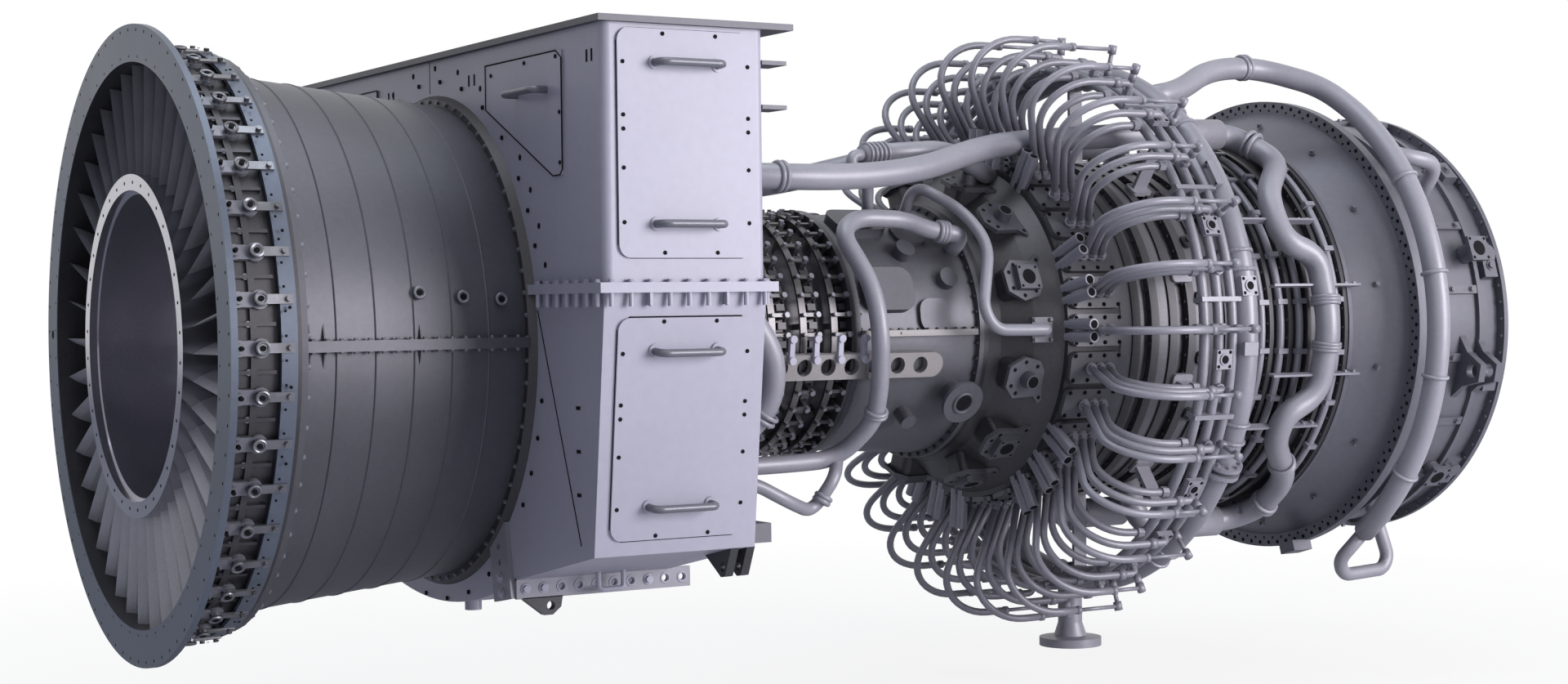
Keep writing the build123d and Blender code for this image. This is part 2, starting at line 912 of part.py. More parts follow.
# High-pressure rear case with its bleed saddles, round caps and ports
with BuildPart() as core_rear_case:
    add(
        turned(
            [
                (hpc_end, rear_case_r0 - hpc_wall),
                (hpc_end, rear_case_r0 + joint_flange_h),
                (hpc_end + joint_flange_t, rear_case_r0 + joint_flange_h),
                (hpc_end + joint_flange_t, rear_case_r0),
                (rear_case_end - joint_flange_t, rear_case_r1),
                (rear_case_end - joint_flange_t, rear_case_r1 + joint_flange_h),
                (rear_case_end, rear_case_r1 + joint_flange_h),
                (rear_case_end, rear_case_r1 - hpc_wall),
            ]
        )
    )
    add(pads([outward(2390, rear_case_r0 - 12, a) for a in both_sides((62, 20))], 190, 150, 48, 46))
    add(pads([outward(2560, rear_case_r0 - 12, a) for a in both_sides((52, 8))], 120, 110, 40, 40))
    add(studs([outward(2494, rear_case_r0 - 12, a) for a in both_sides((39.4,))], 34, 62))
    add(studs([outward(2626, rear_case_r0 - 12, a) for a in both_sides((24.4,))], 34, 62))
    add(studs([outward(2657, rear_case_r0 - 12, a) for a in both_sides((-28.4,))], 40, 112))
    add(studs([outward(2657, rear_case_r0 + 86, a) for a in both_sides((-28.4,))], 76, 14))
    add(studs([outward(2491, rear_case_r0 - 12, a) for a in both_sides((-39.9,))], 28, 80))
core_rear_case.part.label = "core_rear_case"
export_step(core_rear_case.part, "parts/core_rear_case.step")

# Combustor dome with its boss pads
with BuildPart() as combustor_dome:
    add(
        turned(
            [
                (rear_case_end, rear_case_r1 - hpc_wall),
                (rear_case_end, rear_case_r1 + joint_flange_h),
                (rear_case_end + joint_flange_t, rear_case_r1 + joint_flange_h),
                (rear_case_end + 60, rear_case_r1 + 34),
                (dome_end - 90, dome_r - 50),
                (dome_end, dome_r),
                (dome_end, dome_r - dome_wall),
                (dome_end - 90, dome_r - 50 - dome_wall),
                (rear_case_end + 60, rear_case_r1 + 34 - dome_wall),
            ]
        )
    )
    boss_x = (rear_case_end + dome_end) / 2
    boss_r = (rear_case_r1 + dome_r) / 2 - 40
    boss_angles = both_sides((45, 18.8, -17.2, -44.9, 70, -70))
    add(pads([outward(boss_x, boss_r, a) for a in boss_angles], 124, 112, 26, 76))
    add(studs([outward(boss_x, boss_r + 76, a) for a in boss_angles], 26, 22))
combustor_dome.part.label = "combustor_dome"
export_step(combustor_dome.part, "parts/combustor_dome.step")

# Premixer band and the bolted plates on it, one for each station
band_end = dome_end + band_len
plate_mid = (dome_end + band_end) / 2
fuel_angles = around(station_count)
with BuildPart() as premixer_band:
    add(
        turned(
            [
                (dome_end, dome_r - dome_wall),
                (dome_end, band_r),
                (band_end, band_r),
                (band_end, dome_r - dome_wall),
            ]
        )
    )
premixer_band.part.label = "premixer_band"
export_step(premixer_band.part, "parts/premixer_band.step")

with BuildPart() as premixer_plates:
    add(pads([outward(plate_mid, band_r, a) for a in fuel_angles], plate_len, plate_w, 26, plate_t))
premixer_plates.part.label = "premixer_plates"
export_step(premixer_plates.part, "parts/premixer_plates.step")

# Fuel pipes: three nested rows of hoops, each ending on its own ring
ring_top = fuel_ring_r + fuel_ring_tube
spin = [a - 90 for a in fuel_angles]
with BuildPart() as fuel_pipes_outer:
    outer_hoop = hoop(outer_hoop_x, outer_hoop_r, fuel_ring_x3, ring_top)
    add([outer_hoop.rotate(Axis.X, a) for a in spin[::2]])
fuel_pipes_outer.part.label = "fuel_pipes_outer"
export_step(fuel_pipes_outer.part, "parts/fuel_pipes_outer.step")

with BuildPart() as fuel_pipes_middle:
    middle_hoop = hoop(middle_hoop_x, middle_hoop_r, fuel_ring_x2, ring_top)
    add([middle_hoop.rotate(Axis.X, a) for a in spin])
fuel_pipes_middle.part.label = "fuel_pipes_middle"
export_step(fuel_pipes_middle.part, "parts/fuel_pipes_middle.step")

with BuildPart() as fuel_pipes_inner:
    inner_hoop = hoop(inner_hoop_x, fuel_ring_r, fuel_ring_x1 - fuel_ring_tube, fuel_ring_r)
    add([inner_hoop.rotate(Axis.X, a) for a in spin])
fuel_pipes_inner.part.label = "fuel_pipes_inner"
export_step(fuel_pipes_inner.part, "parts/fuel_pipes_inner.step")

# Fuel rings, front to rear
with BuildPart(Plane.YZ.offset(fuel_ring_x1)) as fuel_ring_front:
    Torus(fuel_ring_r, fuel_ring_tube)
fuel_ring_front.part.label = "fuel_ring_front"
export_step(fuel_ring_front.part, "parts/fuel_ring_front.step")

with BuildPart(Plane.YZ.offset(fuel_ring_x2)) as fuel_ring_middle:
    Torus(fuel_ring_r, fuel_ring_tube)
fuel_ring_middle.part.label = "fuel_ring_middle"
export_step(fuel_ring_middle.part, "parts/fuel_ring_middle.step")

with BuildPart(Plane.YZ.offset(fuel_ring_x3)) as fuel_ring_rear:
    Torus(fuel_ring_r, fuel_ring_tube)
fuel_ring_rear.part.label = "fuel_ring_rear"
export_step(fuel_ring_rear.part, "parts/fuel_ring_rear.step")

# Fat gas manifold behind the rings
with BuildPart(Plane.YZ.offset(manifold_x)) as gas_manifold:
    Torus(manifold_r, manifold_tube)
gas_manifold.part.label = "gas_manifold"
export_step(gas_manifold.part, "parts/gas_manifold.step")

# Brackets that carry the manifold on the turbine case
with BuildPart() as manifold_brackets:
    bracket_r = hpt_r + hpt_rib_h - 6
    add(
        bars(
            [outward(manifold_x + 16, bracket_r, a) for a in around(10, 18)],
            56,
            14,
            manifold_r - manifold_tube + 8 - bracket_r,
        )
    )
    add(pads([outward(manifold_x + 16, bracket_r, a) for a in around(10, 18)], 84, 60, 12, 16))
manifold_brackets.part.label = "manifold_brackets"
export_step(manifold_brackets.part, "parts/manifold_brackets.step")

# Weld-neck drain flange under the manifold
drain_x = manifold_x - 30
with BuildPart() as drain_flange:
    with BuildSketch(Plane.XZ):
        with BuildLine():
            Polyline(
                (drain_x, drain_face_z),
                (drain_x + drain_r, drain_face_z),
                (drain_x + drain_r, drain_face_z + drain_t),
                (drain_x + drain_neck_r + 16, drain_face_z + drain_t + 6),
                (drain_x + drain_neck_r, drain_face_z + drain_t + 54),
                (drain_x + drain_neck_r, -manifold_r),
                (drain_x, -manifold_r),
                close=True,
            )
        make_face()
    revolve(axis=Axis((drain_x, 0, 0), (0, 0, 1)))
    with BuildSketch(Plane.XY.offset(drain_face_z)):
        with Locations((drain_x, 0)):
            with PolarLocations(drain_r - 22, 8):
                Circle(9)
    extrude(amount=drain_t, mode=Mode.SUBTRACT)
drain_flange.part.label = "drain_flange"
export_step(drain_flange.part, "parts/drain_flange.step")

# High-pressure turbine case with its many ribs
with BuildPart() as front_turbine_case:
    add(turned(ribbed(band_end, hpt_end, hpt_r, hpt_r, hpt_ribs, hpt_rib_h, hpt_rib_w, turbine_wall)))
front_turbine_case.part.label = "front_turbine_case"
export_step(front_turbine_case.part, "parts/front_turbine_case.step")

# Low-pressure turbine case, widening aft
with BuildPart() as rear_turbine_case:
    add(turned(ribbed(hpt_end, lpt_end, lpt_r0, lpt_r1, lpt_ribs, 26, 18, turbine_wall)))
rear_turbine_case.part.label = "rear_turbine_case"
export_step(rear_turbine_case.part, "parts/rear_turbine_case.step")


def lpt_radius(x):
    """Outer radius of the low-pressure turbine case at a station."""
    return lpt_r0 + (lpt_r1 - lpt_r0) * (x - hpt_end) / (lpt_end - hpt_end)


# Cooling tubes round the low-pressure turbine case
lpt_pitch = (lpt_end - hpt_end) / lpt_ribs
with BuildPart() as cooling_tubes:
    for i in (1, 2, 3, 5):
        tube_x = hpt_end + (i + 0.45) * lpt_pitch
        with Locations(Plane.YZ.offset(tube_x)):
            Torus(lpt_radius(tube_x) + cooling_tube_r - 2, cooling_tube_r)
cooling_tubes.part.label = "cooling_tubes"
export_step(cooling_tubes.part, "parts/cooling_tubes.step")

# Cone between the low-pressure turbine and the rear frame
with BuildPart() as turbine_cone:
    add(
        turned(
            [
                (lpt_end, lpt_r1 - turbine_wall),
                (lpt_end, lpt_r1 + 26),
                (lpt_end + 18, lpt_r1 + 26),
                (lpt_end + 18, lpt_r1 + 8),
                (cone_end - cone_flange_t, cone_r),
                (cone_end - cone_flange_t, cone_flange_r),
                (cone_end, cone_flange_r),
                (cone_end, frame_r - frame_wall),
            ]
        )
    )
turbine_cone.part.label = "turbine_cone"
export_step(turbine_cone.part, "parts/turbine_cone.step")

# Turbine rear frame: barrel, bands, hub and struts
frame_end = cone_end + frame_len
with BuildPart() as turbine_rear_frame:
    add(
        turned(
            [
                (cone_end, frame_r - frame_wall),
                (cone_end, cone_flange_r),
                (cone_end + cone_flange_t, cone_flange_r),
                (cone_end + cone_flange_t, frame_r),
                (cone_end + frame_len * 0.34, frame_r),
                (cone_end + frame_len * 0.34, frame_r + 22),
                (cone_end + frame_len * 0.38, frame_r + 22),
                (cone_end + frame_len * 0.38, frame_r + 6),
                (cone_end + frame_len * 0.72, frame_r + 6),
                (cone_end + frame_len * 0.72, frame_r + 22),
                (cone_end + frame_len * 0.76, frame_r + 22),
                (cone_end + frame_len * 0.76, frame_r),
                (frame_end - cone_flange_t, frame_r),
                (frame_end - cone_flange_t, frame_flange_r),
                (frame_end, frame_flange_r),
                (frame_end, frame_r - frame_wall),
            ]
        )
    )
    hub_x0 = cone_end + frame_len * 0.2
    hub_x1 = frame_end - 40
    add(
        turned(
            [
                (hub_x0, 0),
                (hub_x0, frame_hub_r),
                (hub_x1, frame_hub_r),
                (hub_x1, frame_hub_r - 60),
                (hub_x1 - 60, frame_hub_r - 90),
                (hub_x1 - 60, 0),
            ]
        )
    )
    add(
        bars(
            [outward((hub_x0 + hub_x1) / 2, frame_hub_r - 6, a) for a in around(strut_count, 18)],
            (hub_x1 - hub_x0) * 0.8,
            strut_t,
            frame_r - frame_wall / 2 - frame_hub_r,
        )
    )
    port_x = cone_end + frame_len * 0.88
    add(studs([outward(port_x, frame_r - 8, a) for a in both_sides((18.6, -43.6))], 34, 46))
    add(pads([outward(port_x, frame_r - 8, a) for a in both_sides((18.6, -43.6))], 96, 96, 14, 26))
turbine_rear_frame.part.label = "turbine_rear_frame"
export_step(turbine_rear_frame.part, "parts/turbine_rear_frame.step")

# Mount clevises on both sides of the rear frame
clevis_x = cone_end + frame_len * 0.66
clevis_outline = [(-130, -20), (130, -20), (64, 40), (32, 112), (-32, 112), (-64, 40)]
clevis_deg = -11.8
with BuildPart() as rear_mounts:
    for step in (-clevis_gap / 2 - clevis_t, clevis_gap / 2):
        foot = at(clevis_x + step, frame_r + 4, clevis_deg)
        cheek = Plane(origin=foot, x_dir=at(0, 1, clevis_deg + 90), z_dir=(1, 0, 0))
        with BuildPart(mode=Mode.PRIVATE) as one_cheek:
            with BuildSketch(cheek):
                with BuildLine():
                    Polyline(*clevis_outline, close=True)
                make_face()
                with Locations((0, 74)):
                    Circle(clevis_hole_r, mode=Mode.SUBTRACT)
            extrude(amount=clevis_t)
        add(mirrored(one_cheek.part))
rear_mounts.part.label = "rear_mounts"
export_step(rear_mounts.part, "parts/rear_mounts.step")

# Cooling ducts: from the back of the box, under the fuel hoops and down the turbine in S bends
duct_points = [
    at(box_rear, duct_front_r, 45.6),
    at(2500, duct_front_r, 47.6),
    at(2943, duct_front_r, 65),
    at(3480, duct_line_r - 11, 66),
    at(3890, duct_line_r, 66),
    at(4000, duct_line_r, 56),
    at(4000, duct_line_r, 36),
    at(3850, duct_line_r, 27),
    at(3985, duct_line_r, 15),
    at(3985, duct_line_r + 20, -1),
    at(3985, duct_line_r, -17),
    at(3810, duct_line_r, -28),
    at(4020, duct_line_r, -47),
    at(4007, duct_line_r, -64),
    at(4007, lpt_r1 - 60, -72),
]
with BuildPart() as cooling_ducts:
    add(mirrored(tube(duct_points, duct_bend, duct_r)))
cooling_ducts.part.label = "cooling_ducts"
export_step(cooling_ducts.part, "parts/cooling_ducts.step")

# Arch pipe from the manifold over the top and down the near side of the rear frame
arch_points = [
    at(manifold_x, manifold_r, 64),
    at(manifold_x + 170, arch_line_r + 27, 68),
    at(arch_x - 260, arch_line_r + 42, 72),
    at(arch_x - 60, arch_line_r + 27, 63),
]
for i in range(12):
    arch_points.append(at(arch_x, arch_line_r, 54 - 9 * i))
arch_points.append(at(arch_x + 40, arch_line_r - 20, -54))
loop_points = [
    at(arch_x + 40, arch_line_r - 20, -54),
    at(arch_x - 60, arch_line_r + 20, -64),
    at(arch_x - 40, arch_line_r + 30, -69),
    at(arch_x + 120, arch_line_r + 30, -67),
    at(arch_x + 130, arch_line_r - 60, -62),
    at(arch_x + 110, frame_r - 6, -60),
]
branch_points = [
    at(arch_x, arch_line_r, 40),
    at(arch_x + 230, arch_line_r - 10, 38),
    at(arch_x + 230, frame_r - 6, 35),
]
with BuildPart() as arch_pipe:
    add(tube(arch_points, arch_r * 1.2, arch_r))
    add(tube(loop_points, loop_r, loop_r))
    add(tube(branch_points, arch_r * 1.5, branch_r))
arch_pipe.part.label = "arch_pipe"
export_step(arch_pipe.part, "parts/arch_pipe.step")

# Hooked bleed pipe at the near side, the small pipe on the dome, the low loop and the stub pipe above
with BuildPart() as bleed_pipes:
    hook_points = [
        at(rear_case_end - 43, rear_case_r1 - 6, 42),
        at(rear_case_end - 53, hook_line_r + 10, 42),
        at(hpc_end + 70, hook_line_r, 50),
        at(hpc_end + 25, hook_line_r, 25),
        at(hpc_end + 70, hook_line_r + 20, 0),
        at(hpc_end + 70, hook_line_r, -25),
        at(hpc_end + 60, hook_line_r, -42),
        at(hpc_end, hook_line_r, -60),
        at(box_rear, hook_line_r, -60),
    ]
    add(tube(hook_points, 22, hook_r))
    dome_points = [
        at(rear_case_end - 153, rear_case_r1 - 10, 64),
        at(rear_case_end - 143, dome_r - 16, 64),
        at(rear_case_end - 7, dome_r - 10, 47),
        at(rear_case_end + 27, dome_r - 8, 30),
        at(rear_case_end - 53, dome_r - 16, 8),
        at(dome_end - 100, dome_r + 24, 3),
        at(dome_end - 90, dome_r - 70, 3),
    ]
    add(tube(dome_points, 24, small_pipe_r))
    low_points = [
        at(box_rear, hook_line_r + 65, -57),
        at(hpc_end - 260, hook_line_r + 65, -57),
        at(hpc_end - 50, hook_line_r + 95, -64),
        at(hpc_end + 12, hook_line_r + 50, -52),
        at(hpc_end + 12, rear_case_r0 - 4, -50),
    ]
    add(tube(low_points, 24, small_pipe_r))
    stub_points = [
        at(hpc_end + 90, stub_line_r, 61),
        at(rear_case_end, stub_line_r, 67),
        at(dome_end - 20, dome_r - 16, 71),
    ]
    add(tube(stub_points, stub_pipe_r * 1.5, stub_pipe_r))
bleed_pipes.part.label = "bleed_pipes"
export_step(bleed_pipes.part, "parts/bleed_pipes.step")
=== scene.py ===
"""The engine axis is X, the face of the intake flange is at x 0, the exhaust is at +X and Z is up.
Lengths are in mm, and Pile turns them into metres. Clock angles run from 0 at the near side, -Y,
to 90 at the top and 180 at the far side.
"""

import json
import math

import bpy
from mathutils import Matrix, Vector

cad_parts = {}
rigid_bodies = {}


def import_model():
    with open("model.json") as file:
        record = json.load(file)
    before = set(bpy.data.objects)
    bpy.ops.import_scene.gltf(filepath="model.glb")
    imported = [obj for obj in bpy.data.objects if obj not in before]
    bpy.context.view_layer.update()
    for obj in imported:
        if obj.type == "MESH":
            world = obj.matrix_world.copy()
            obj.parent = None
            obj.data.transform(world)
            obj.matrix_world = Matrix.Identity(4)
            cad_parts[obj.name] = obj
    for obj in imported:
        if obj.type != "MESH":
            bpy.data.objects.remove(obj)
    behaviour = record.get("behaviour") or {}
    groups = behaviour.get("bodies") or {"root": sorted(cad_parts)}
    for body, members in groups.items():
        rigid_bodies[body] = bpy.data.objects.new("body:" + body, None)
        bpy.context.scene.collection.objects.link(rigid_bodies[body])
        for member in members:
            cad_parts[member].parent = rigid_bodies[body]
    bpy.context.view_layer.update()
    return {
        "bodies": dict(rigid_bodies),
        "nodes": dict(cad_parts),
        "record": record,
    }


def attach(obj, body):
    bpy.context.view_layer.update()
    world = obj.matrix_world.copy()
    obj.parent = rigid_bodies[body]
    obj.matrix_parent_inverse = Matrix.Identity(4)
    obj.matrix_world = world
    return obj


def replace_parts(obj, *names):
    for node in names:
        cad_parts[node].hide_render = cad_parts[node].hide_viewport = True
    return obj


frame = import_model()
BODY = next(iter(frame["bodies"]))
MM = 0.001
X = Vector((1, 0, 0))
Y = Vector((0, 1, 0))
Z = Vector((0, 0, 1))
SIDES = (-1, 1)
CORNERS = ((-1, -1), (-1, 1), (1, -1), (1, 1))


# Materials
def finish(name, colour, rough, metallic, spread, scale, grime):
    """Worn satin metal: broad tone changes, small specks and uneven roughness."""
    mat = bpy.data.materials.new(name)
    mat.use_nodes = True
    tree = mat.node_tree
    bsdf = tree.nodes["Principled BSDF"]
    coord = tree.nodes.new("ShaderNodeTexCoord")
    broad = tree.nodes.new("ShaderNodeTexNoise")
    broad.inputs["Scale"].default_value = scale
    broad.inputs["Detail"].default_value = 6
    fine = tree.nodes.new("ShaderNodeTexNoise")
    fine.inputs["Scale"].default_value = scale * 30
    fine.inputs["Detail"].default_value = 4
    tree.links.new(coord.outputs["Object"], broad.inputs["Vector"])
    tree.links.new(coord.outputs["Object"], fine.inputs["Vector"])
    ramp = tree.nodes.new("ShaderNodeValToRGB")
    dark = [c * (1 - spread) for c in colour]
    light = [min(1.0, c * (1 + spread * 0.6)) for c in colour]
    ramp.color_ramp.elements[0].position = 0.3
    ramp.color_ramp.elements[0].color = (*dark, 1)
    ramp.color_ramp.elements[1].position = 0.72
    ramp.color_ramp.elements[1].color = (*light, 1)
    tree.links.new(broad.outputs["Fac"], ramp.inputs["Fac"])
    specks = tree.nodes.new("ShaderNodeMix")
    specks.data_type = "RGBA"
    specks.blend_type = "MULTIPLY"
    specks.inputs["Factor"].default_value = grime
    tree.links.new(ramp.outputs["Color"], specks.inputs["A"])
    tree.links.new(fine.outputs["Fac"], specks.inputs["B"])
    tree.links.new(specks.outputs["Result"], bsdf.inputs["Base Color"])
    rough_map = tree.nodes.new("ShaderNodeMapRange")
    rough_map.inputs["To Min"].default_value = max(0.03, rough - 0.1)
    rough_map.inputs["To Max"].default_value = rough + 0.12
    tree.links.new(broad.outputs["Fac"], rough_map.inputs["Value"])
    tree.links.new(rough_map.outputs["Result"], bsdf.inputs["Roughness"])
    relief = tree.nodes.new("ShaderNodeBump")
    relief.inputs["Strength"].default_value = 0.02
    relief.inputs["Distance"].default_value = 0.002
    tree.links.new(fine.outputs["Fac"], relief.inputs["Height"])
    tree.links.new(relief.outputs["Normal"], bsdf.inputs["Normal"])
    bsdf.inputs["Metallic"].default_value = metallic
    return mat


# Colour, roughness, metallic, spread of tones, scale of the noise and share of specks
FINISHES = {
    "box_paint": ((0.37, 0.36, 0.44), 0.42, 0.05, 0.07, 1.2, 0.10),
    "case_metal": ((0.105, 0.104, 0.122), 0.46, 0.40, 0.20, 2.0, 0.25),
    "dark_case": ((0.060, 0.058, 0.066), 0.42, 0.45, 0.30, 3.0, 0.35),
    "pipe_metal": ((0.268, 0.262, 0.304), 0.40, 0.15, 0.14, 3.0, 0.20),
    "duct_metal": ((0.300, 0.293, 0.335), 0.42, 0.12, 0.12, 3.0, 0.18),
    "lever_steel": ((0.24, 0.24, 0.265), 0.30, 0.75, 0.35, 9.0, 0.45),
    "gear_steel": ((0.150, 0.144, 0.150), 0.34, 0.70, 0.45, 9.0, 0.50),
    "blade_metal": ((0.44, 0.435, 0.475), 0.44, 0.20, 0.15, 4.0, 0.22),
    "polished_steel": ((0.46, 0.45, 0.50), 0.16, 0.85, 0.10, 2.0, 0.10),
    "beam_paint": ((0.265, 0.25, 0.25), 0.45, 0.10, 0.14, 5.0, 0.20),
    "ring_blue": ((0.115, 0.135, 0.178), 0.42, 0.40, 0.18, 2.0, 0.18),
    "handle_grey": ((0.17, 0.17, 0.20), 0.36, 0.30, 0.12, 4.0, 0.20),
    "plate_metal": ((0.125, 0.123, 0.140), 0.40, 0.40, 0.22, 4.0, 0.28),
    "rear_metal": ((0.150, 0.149, 0.178), 0.42, 0.40, 0.16, 1.6, 0.20),
    # Near-black for painted shade in holes, bores, slots and seams; the premixer plate bolts take it too
    "painted_shade_black": ((0.012, 0.012, 0.014), 0.7, 0.1, 0.20, 8.0, 0.20),
}
MATS = {name: finish(name, *values) for name, values in FINISHES.items()}
# The painted shade reflects almost nothing
MATS["painted_shade_black"].node_tree.nodes["Principled BSDF"].inputs["Specular IOR Level"].default_value = 0.05

# Nodes that look otherwise than the material slot in the record
LOOKS = {
    "unison_ring": "ring_blue",
    "cover_handles": "handle_grey",
    "box_lid": "case_metal",
    "box_shelves": "case_metal",
    "premixer_plates": "plate_metal",
    "stator_rings": "gear_steel",
    "stator_levers": "gear_steel",
    "intake_case": "dark_case",
    "first_blade_row": "dark_case",
    "turbine_cone": "rear_metal",
    "turbine_rear_frame": "rear_metal",
    "rear_mounts": "rear_metal",
}
SLOTS = {row["node"]: row["material_slot"] for row in frame["record"]["subparts"]}
for name, node in frame["nodes"].items():
    node.data.materials.clear()
    node.data.materials.append(MATS[LOOKS.get(name, SLOTS[name])])


# Places and runs
def out(deg):
    """Direction away from the axis at a clock angle."""
    turn = math.radians(deg)
    return Vector((0, -math.cos(turn), math.sin(turn)))


def at(x, r, deg):
    """Point at a station, a radius and a clock angle."""
    return Vector((x, 0, 0)) + out(deg) * r


def around(count, start=0.0):
    """Evenly spaced clock angles."""
    return [start + 360 * i / count for i in range(count)]


def both(deg):
    """A clock angle and its mirror image on the far side."""
    return (deg, 180 - deg)


def side_at(far, x, r, deg):
    """Point on the near side, or its mirror image on the far side."""
    return at(x, r, 180 - deg if far else deg)


def ring(centre, u, w, r, n):
    """Circle of n points in the plane of two directions."""
    turns = [2 * math.pi * i / n for i in range(n)]
    return [centre + (u * math.cos(turn) + w * math.sin(turn)) * r for turn in turns]


def rounded(points, most, steps=8):
    """The run of points with each corner eased over at most the given length on both sides."""
    line = [points[0]]
    for before, here, after in zip(points, points[1:], points[2:]):
        reach = min(most, 0.49 * (here - before).length, 0.49 * (after - here).length)
        start = here + (before - here).normalized() * reach
        stop = here + (after - here).normalized() * reach
        for i in range(steps + 1):
            t = i / steps
            line.append(start.lerp(here, t).lerp(here.lerp(stop, t), t))
    return line + [points[-1]]


def run(route, ease, far=False):
    """Eased run along a route of (station, radius, clock angle)."""
    return rounded([side_at(far, *place) for place in route], ease)


def bezier(a, b, c, d, steps=12):
    """Points along a cubic curve from a to d."""
    line = []
    for i in range(steps + 1):
        t = i / steps
        line.append(a * (1 - t) ** 3 + b * 3 * t * (1 - t) ** 2 + c * 3 * t * t * (1 - t) + d * t**3)
    return line


class Pile:
    """Many small shapes joined into one mesh piece."""

    def __init__(self):
        self.verts = []
        self.faces = []

    def loft(self, rings, closed=False):
        """Skin over rings of points: a closed chain, or an open one with its ends capped."""
        base = len(self.verts)
        n = len(rings[0])
        for points in rings:
            self.verts += [tuple(v * MM) for v in points]
        spans = len(rings) if closed else len(rings) - 1
        for k in range(spans):
            a = base + k * n
            b = base + ((k + 1) % len(rings)) * n
            for i in range(n):
                j = (i + 1) % n
                self.faces.append((a + i, a + j, b + j, b + i))
        if not closed:
            self.faces.append(tuple(base + i for i in reversed(range(n))))
            self.faces.append(tuple(base + (len(rings) - 1) * n + i for i in range(n)))

    def turned(self, outline, steps):
        """Ring about the engine axis from an outline of (x, r) points."""
        self.loft([[at(x, r, a) for x, r in outline] for a in around(steps)], closed=True)

    def cyl(self, foot, axis, r, h, n=8, top=None):
        """Cylinder or cone from its foot along an axis."""
        axis = axis.normalized()
        u = axis.orthogonal().normalized()
        w = axis.cross(u)
        self.loft([ring(foot, u, w, r, n), ring(foot + axis * h, u, w, r if top is None else top, n)])

    def bolt(self, foot, axis, r, h):
        """Hex head on a washer."""
        axis = axis.normalized()
        self.cyl(foot - axis * 0.5, axis, r * 1.35, h * 0.3 + 0.5, 12)
        self.cyl(foot + axis * h * 0.3, axis, r, h * 0.7, 6, r * 0.94)

    def box(self, centre, along, up, sizes):
        """Box with its sizes along, across and up."""
        along = along.normalized()
        up = up.normalized()
        across = up.cross(along)
        a, b, c = (s / 2 for s in sizes)
        low = centre - up * c
        corners = [along * i * a + across * j * b for i, j in ((-1, -1), (1, -1), (1, 1), (-1, 1))]
        self.loft([[low + k for k in corners], [low + k + up * 2 * c for k in corners]])

    def torus(self, centre, axis, r, tube, n=24, m=8):
        """Round bead about an axis."""
        axis = axis.normalized()
        u = axis.orthogonal().normalized()
        w = axis.cross(u)
        rings = []
        for i in range(n):
            turn = 2 * math.pi * i / n
            spoke = u * math.cos(turn) + w * math.sin(turn)
            rings.append(ring(centre + spoke * r, spoke, axis, tube, m))
        self.loft(rings, closed=True)

    def pipe(self, points, r, n=10):
        """Tube along points, with its ring carried from point to point so that it doesn't twist."""
        rings = []
        u = None
        for i, p in enumerate(points):
            d = (points[min(i + 1, len(points) - 1)] - points[max(i - 1, 0)]).normalized()
            u = d.orthogonal() if u is None else u - d * u.dot(d)
            u = u.normalized()
            rings.append(ring(p, u, d.cross(u), r, n))
        self.loft(rings)

    def beads(self, start, stop, r, count, tube=7):
        """Row of beads around a pipe between two points."""
        for i in range(count):
            self.torus(start.lerp(stop, (i + 0.5) / count), stop - start, r, tube)

    def peg(self, x, r, deg, radius, height, n=8, top=None):
        """Cylinder that stands outward at a clock angle."""
        self.cyl(at(x, r, deg), out(deg), radius, height, n, top)

    def stud(self, x, r, deg, radius, height):
        """Bolt that points outward at a clock angle."""
        self.bolt(at(x, r, deg), out(deg), radius, height)

    def block(self, x, r, deg, sizes):
        """Box at a clock angle, with its sizes along the engine, around it and outward."""
        self.box(at(x, r, deg), X, out(deg), sizes)

    def make(self, name, look, smooth=False):
        """The piece itself, on the engine's one body."""
        mesh = bpy.data.meshes.new(name)
        mesh.from_pydata(self.verts, [], self.faces)
        mesh.validate()
        mesh.update()
        if smooth:
            mesh.polygons.foreach_set("use_smooth", [True] * len(mesh.polygons))
        obj = bpy.data.objects.new(name, mesh)
        bpy.context.collection.objects.link(obj)
        mesh.materials.append(MATS[look])
        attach(obj, BODY)
        return obj


# Intake flange: blue-grey skin on its face and rim
FLANGE_R = 930
FLANGE_T = 18
THROAT_R = 823
CASE_R = 838
SKIN_T = 1
SKIN_FRONT_X = -0.5
SKIN_LIP_R = 850
skin_r = FLANGE_R + SKIN_T
skin_back_x = FLANGE_T + SKIN_T
skin_throat_r = THROAT_R - 0.5
skin = Pile()
skin_front = [(SKIN_FRONT_X, skin_r), (SKIN_FRONT_X, skin_throat_r), (2, skin_throat_r)]
skin.turned([(skin_back_x, SKIN_LIP_R), (skin_back_x, skin_r)] + skin_front, 144)
skin.make("flange_skin", "ring_blue")

# Small holes along both edges of the flange and in the hub and unison rings, and one larger flange hole,
# drawn as near-black discs of painted shade
UNISON_R = 872
UNISON_PIN_X = 181
LARGE_HOLE = at(1, 872, 178)
FACE_HOLE_H = 1.6
# Count, first angle, station, radius of the row and radius of a hole
FACE_HOLES = ((72, 2.5, 1, 914, 5), (60, 3, 1, CASE_R, 4), (36, 5, 6, 476, 5))
holes = Pile()
for count, start, x, row_r, hole_r in FACE_HOLES:
    for a in around(count, start):
        holes.cyl(at(x, row_r, a), -X, hole_r, FACE_HOLE_H)
holes.cyl(LARGE_HOLE, -X, 14, 1.8, 16)
for a in around(26, 7):
    holes.peg(UNISON_PIN_X, UNISON_R, a, 5, 1.5)
holes.make("flange_holes", "painted_shade_black")
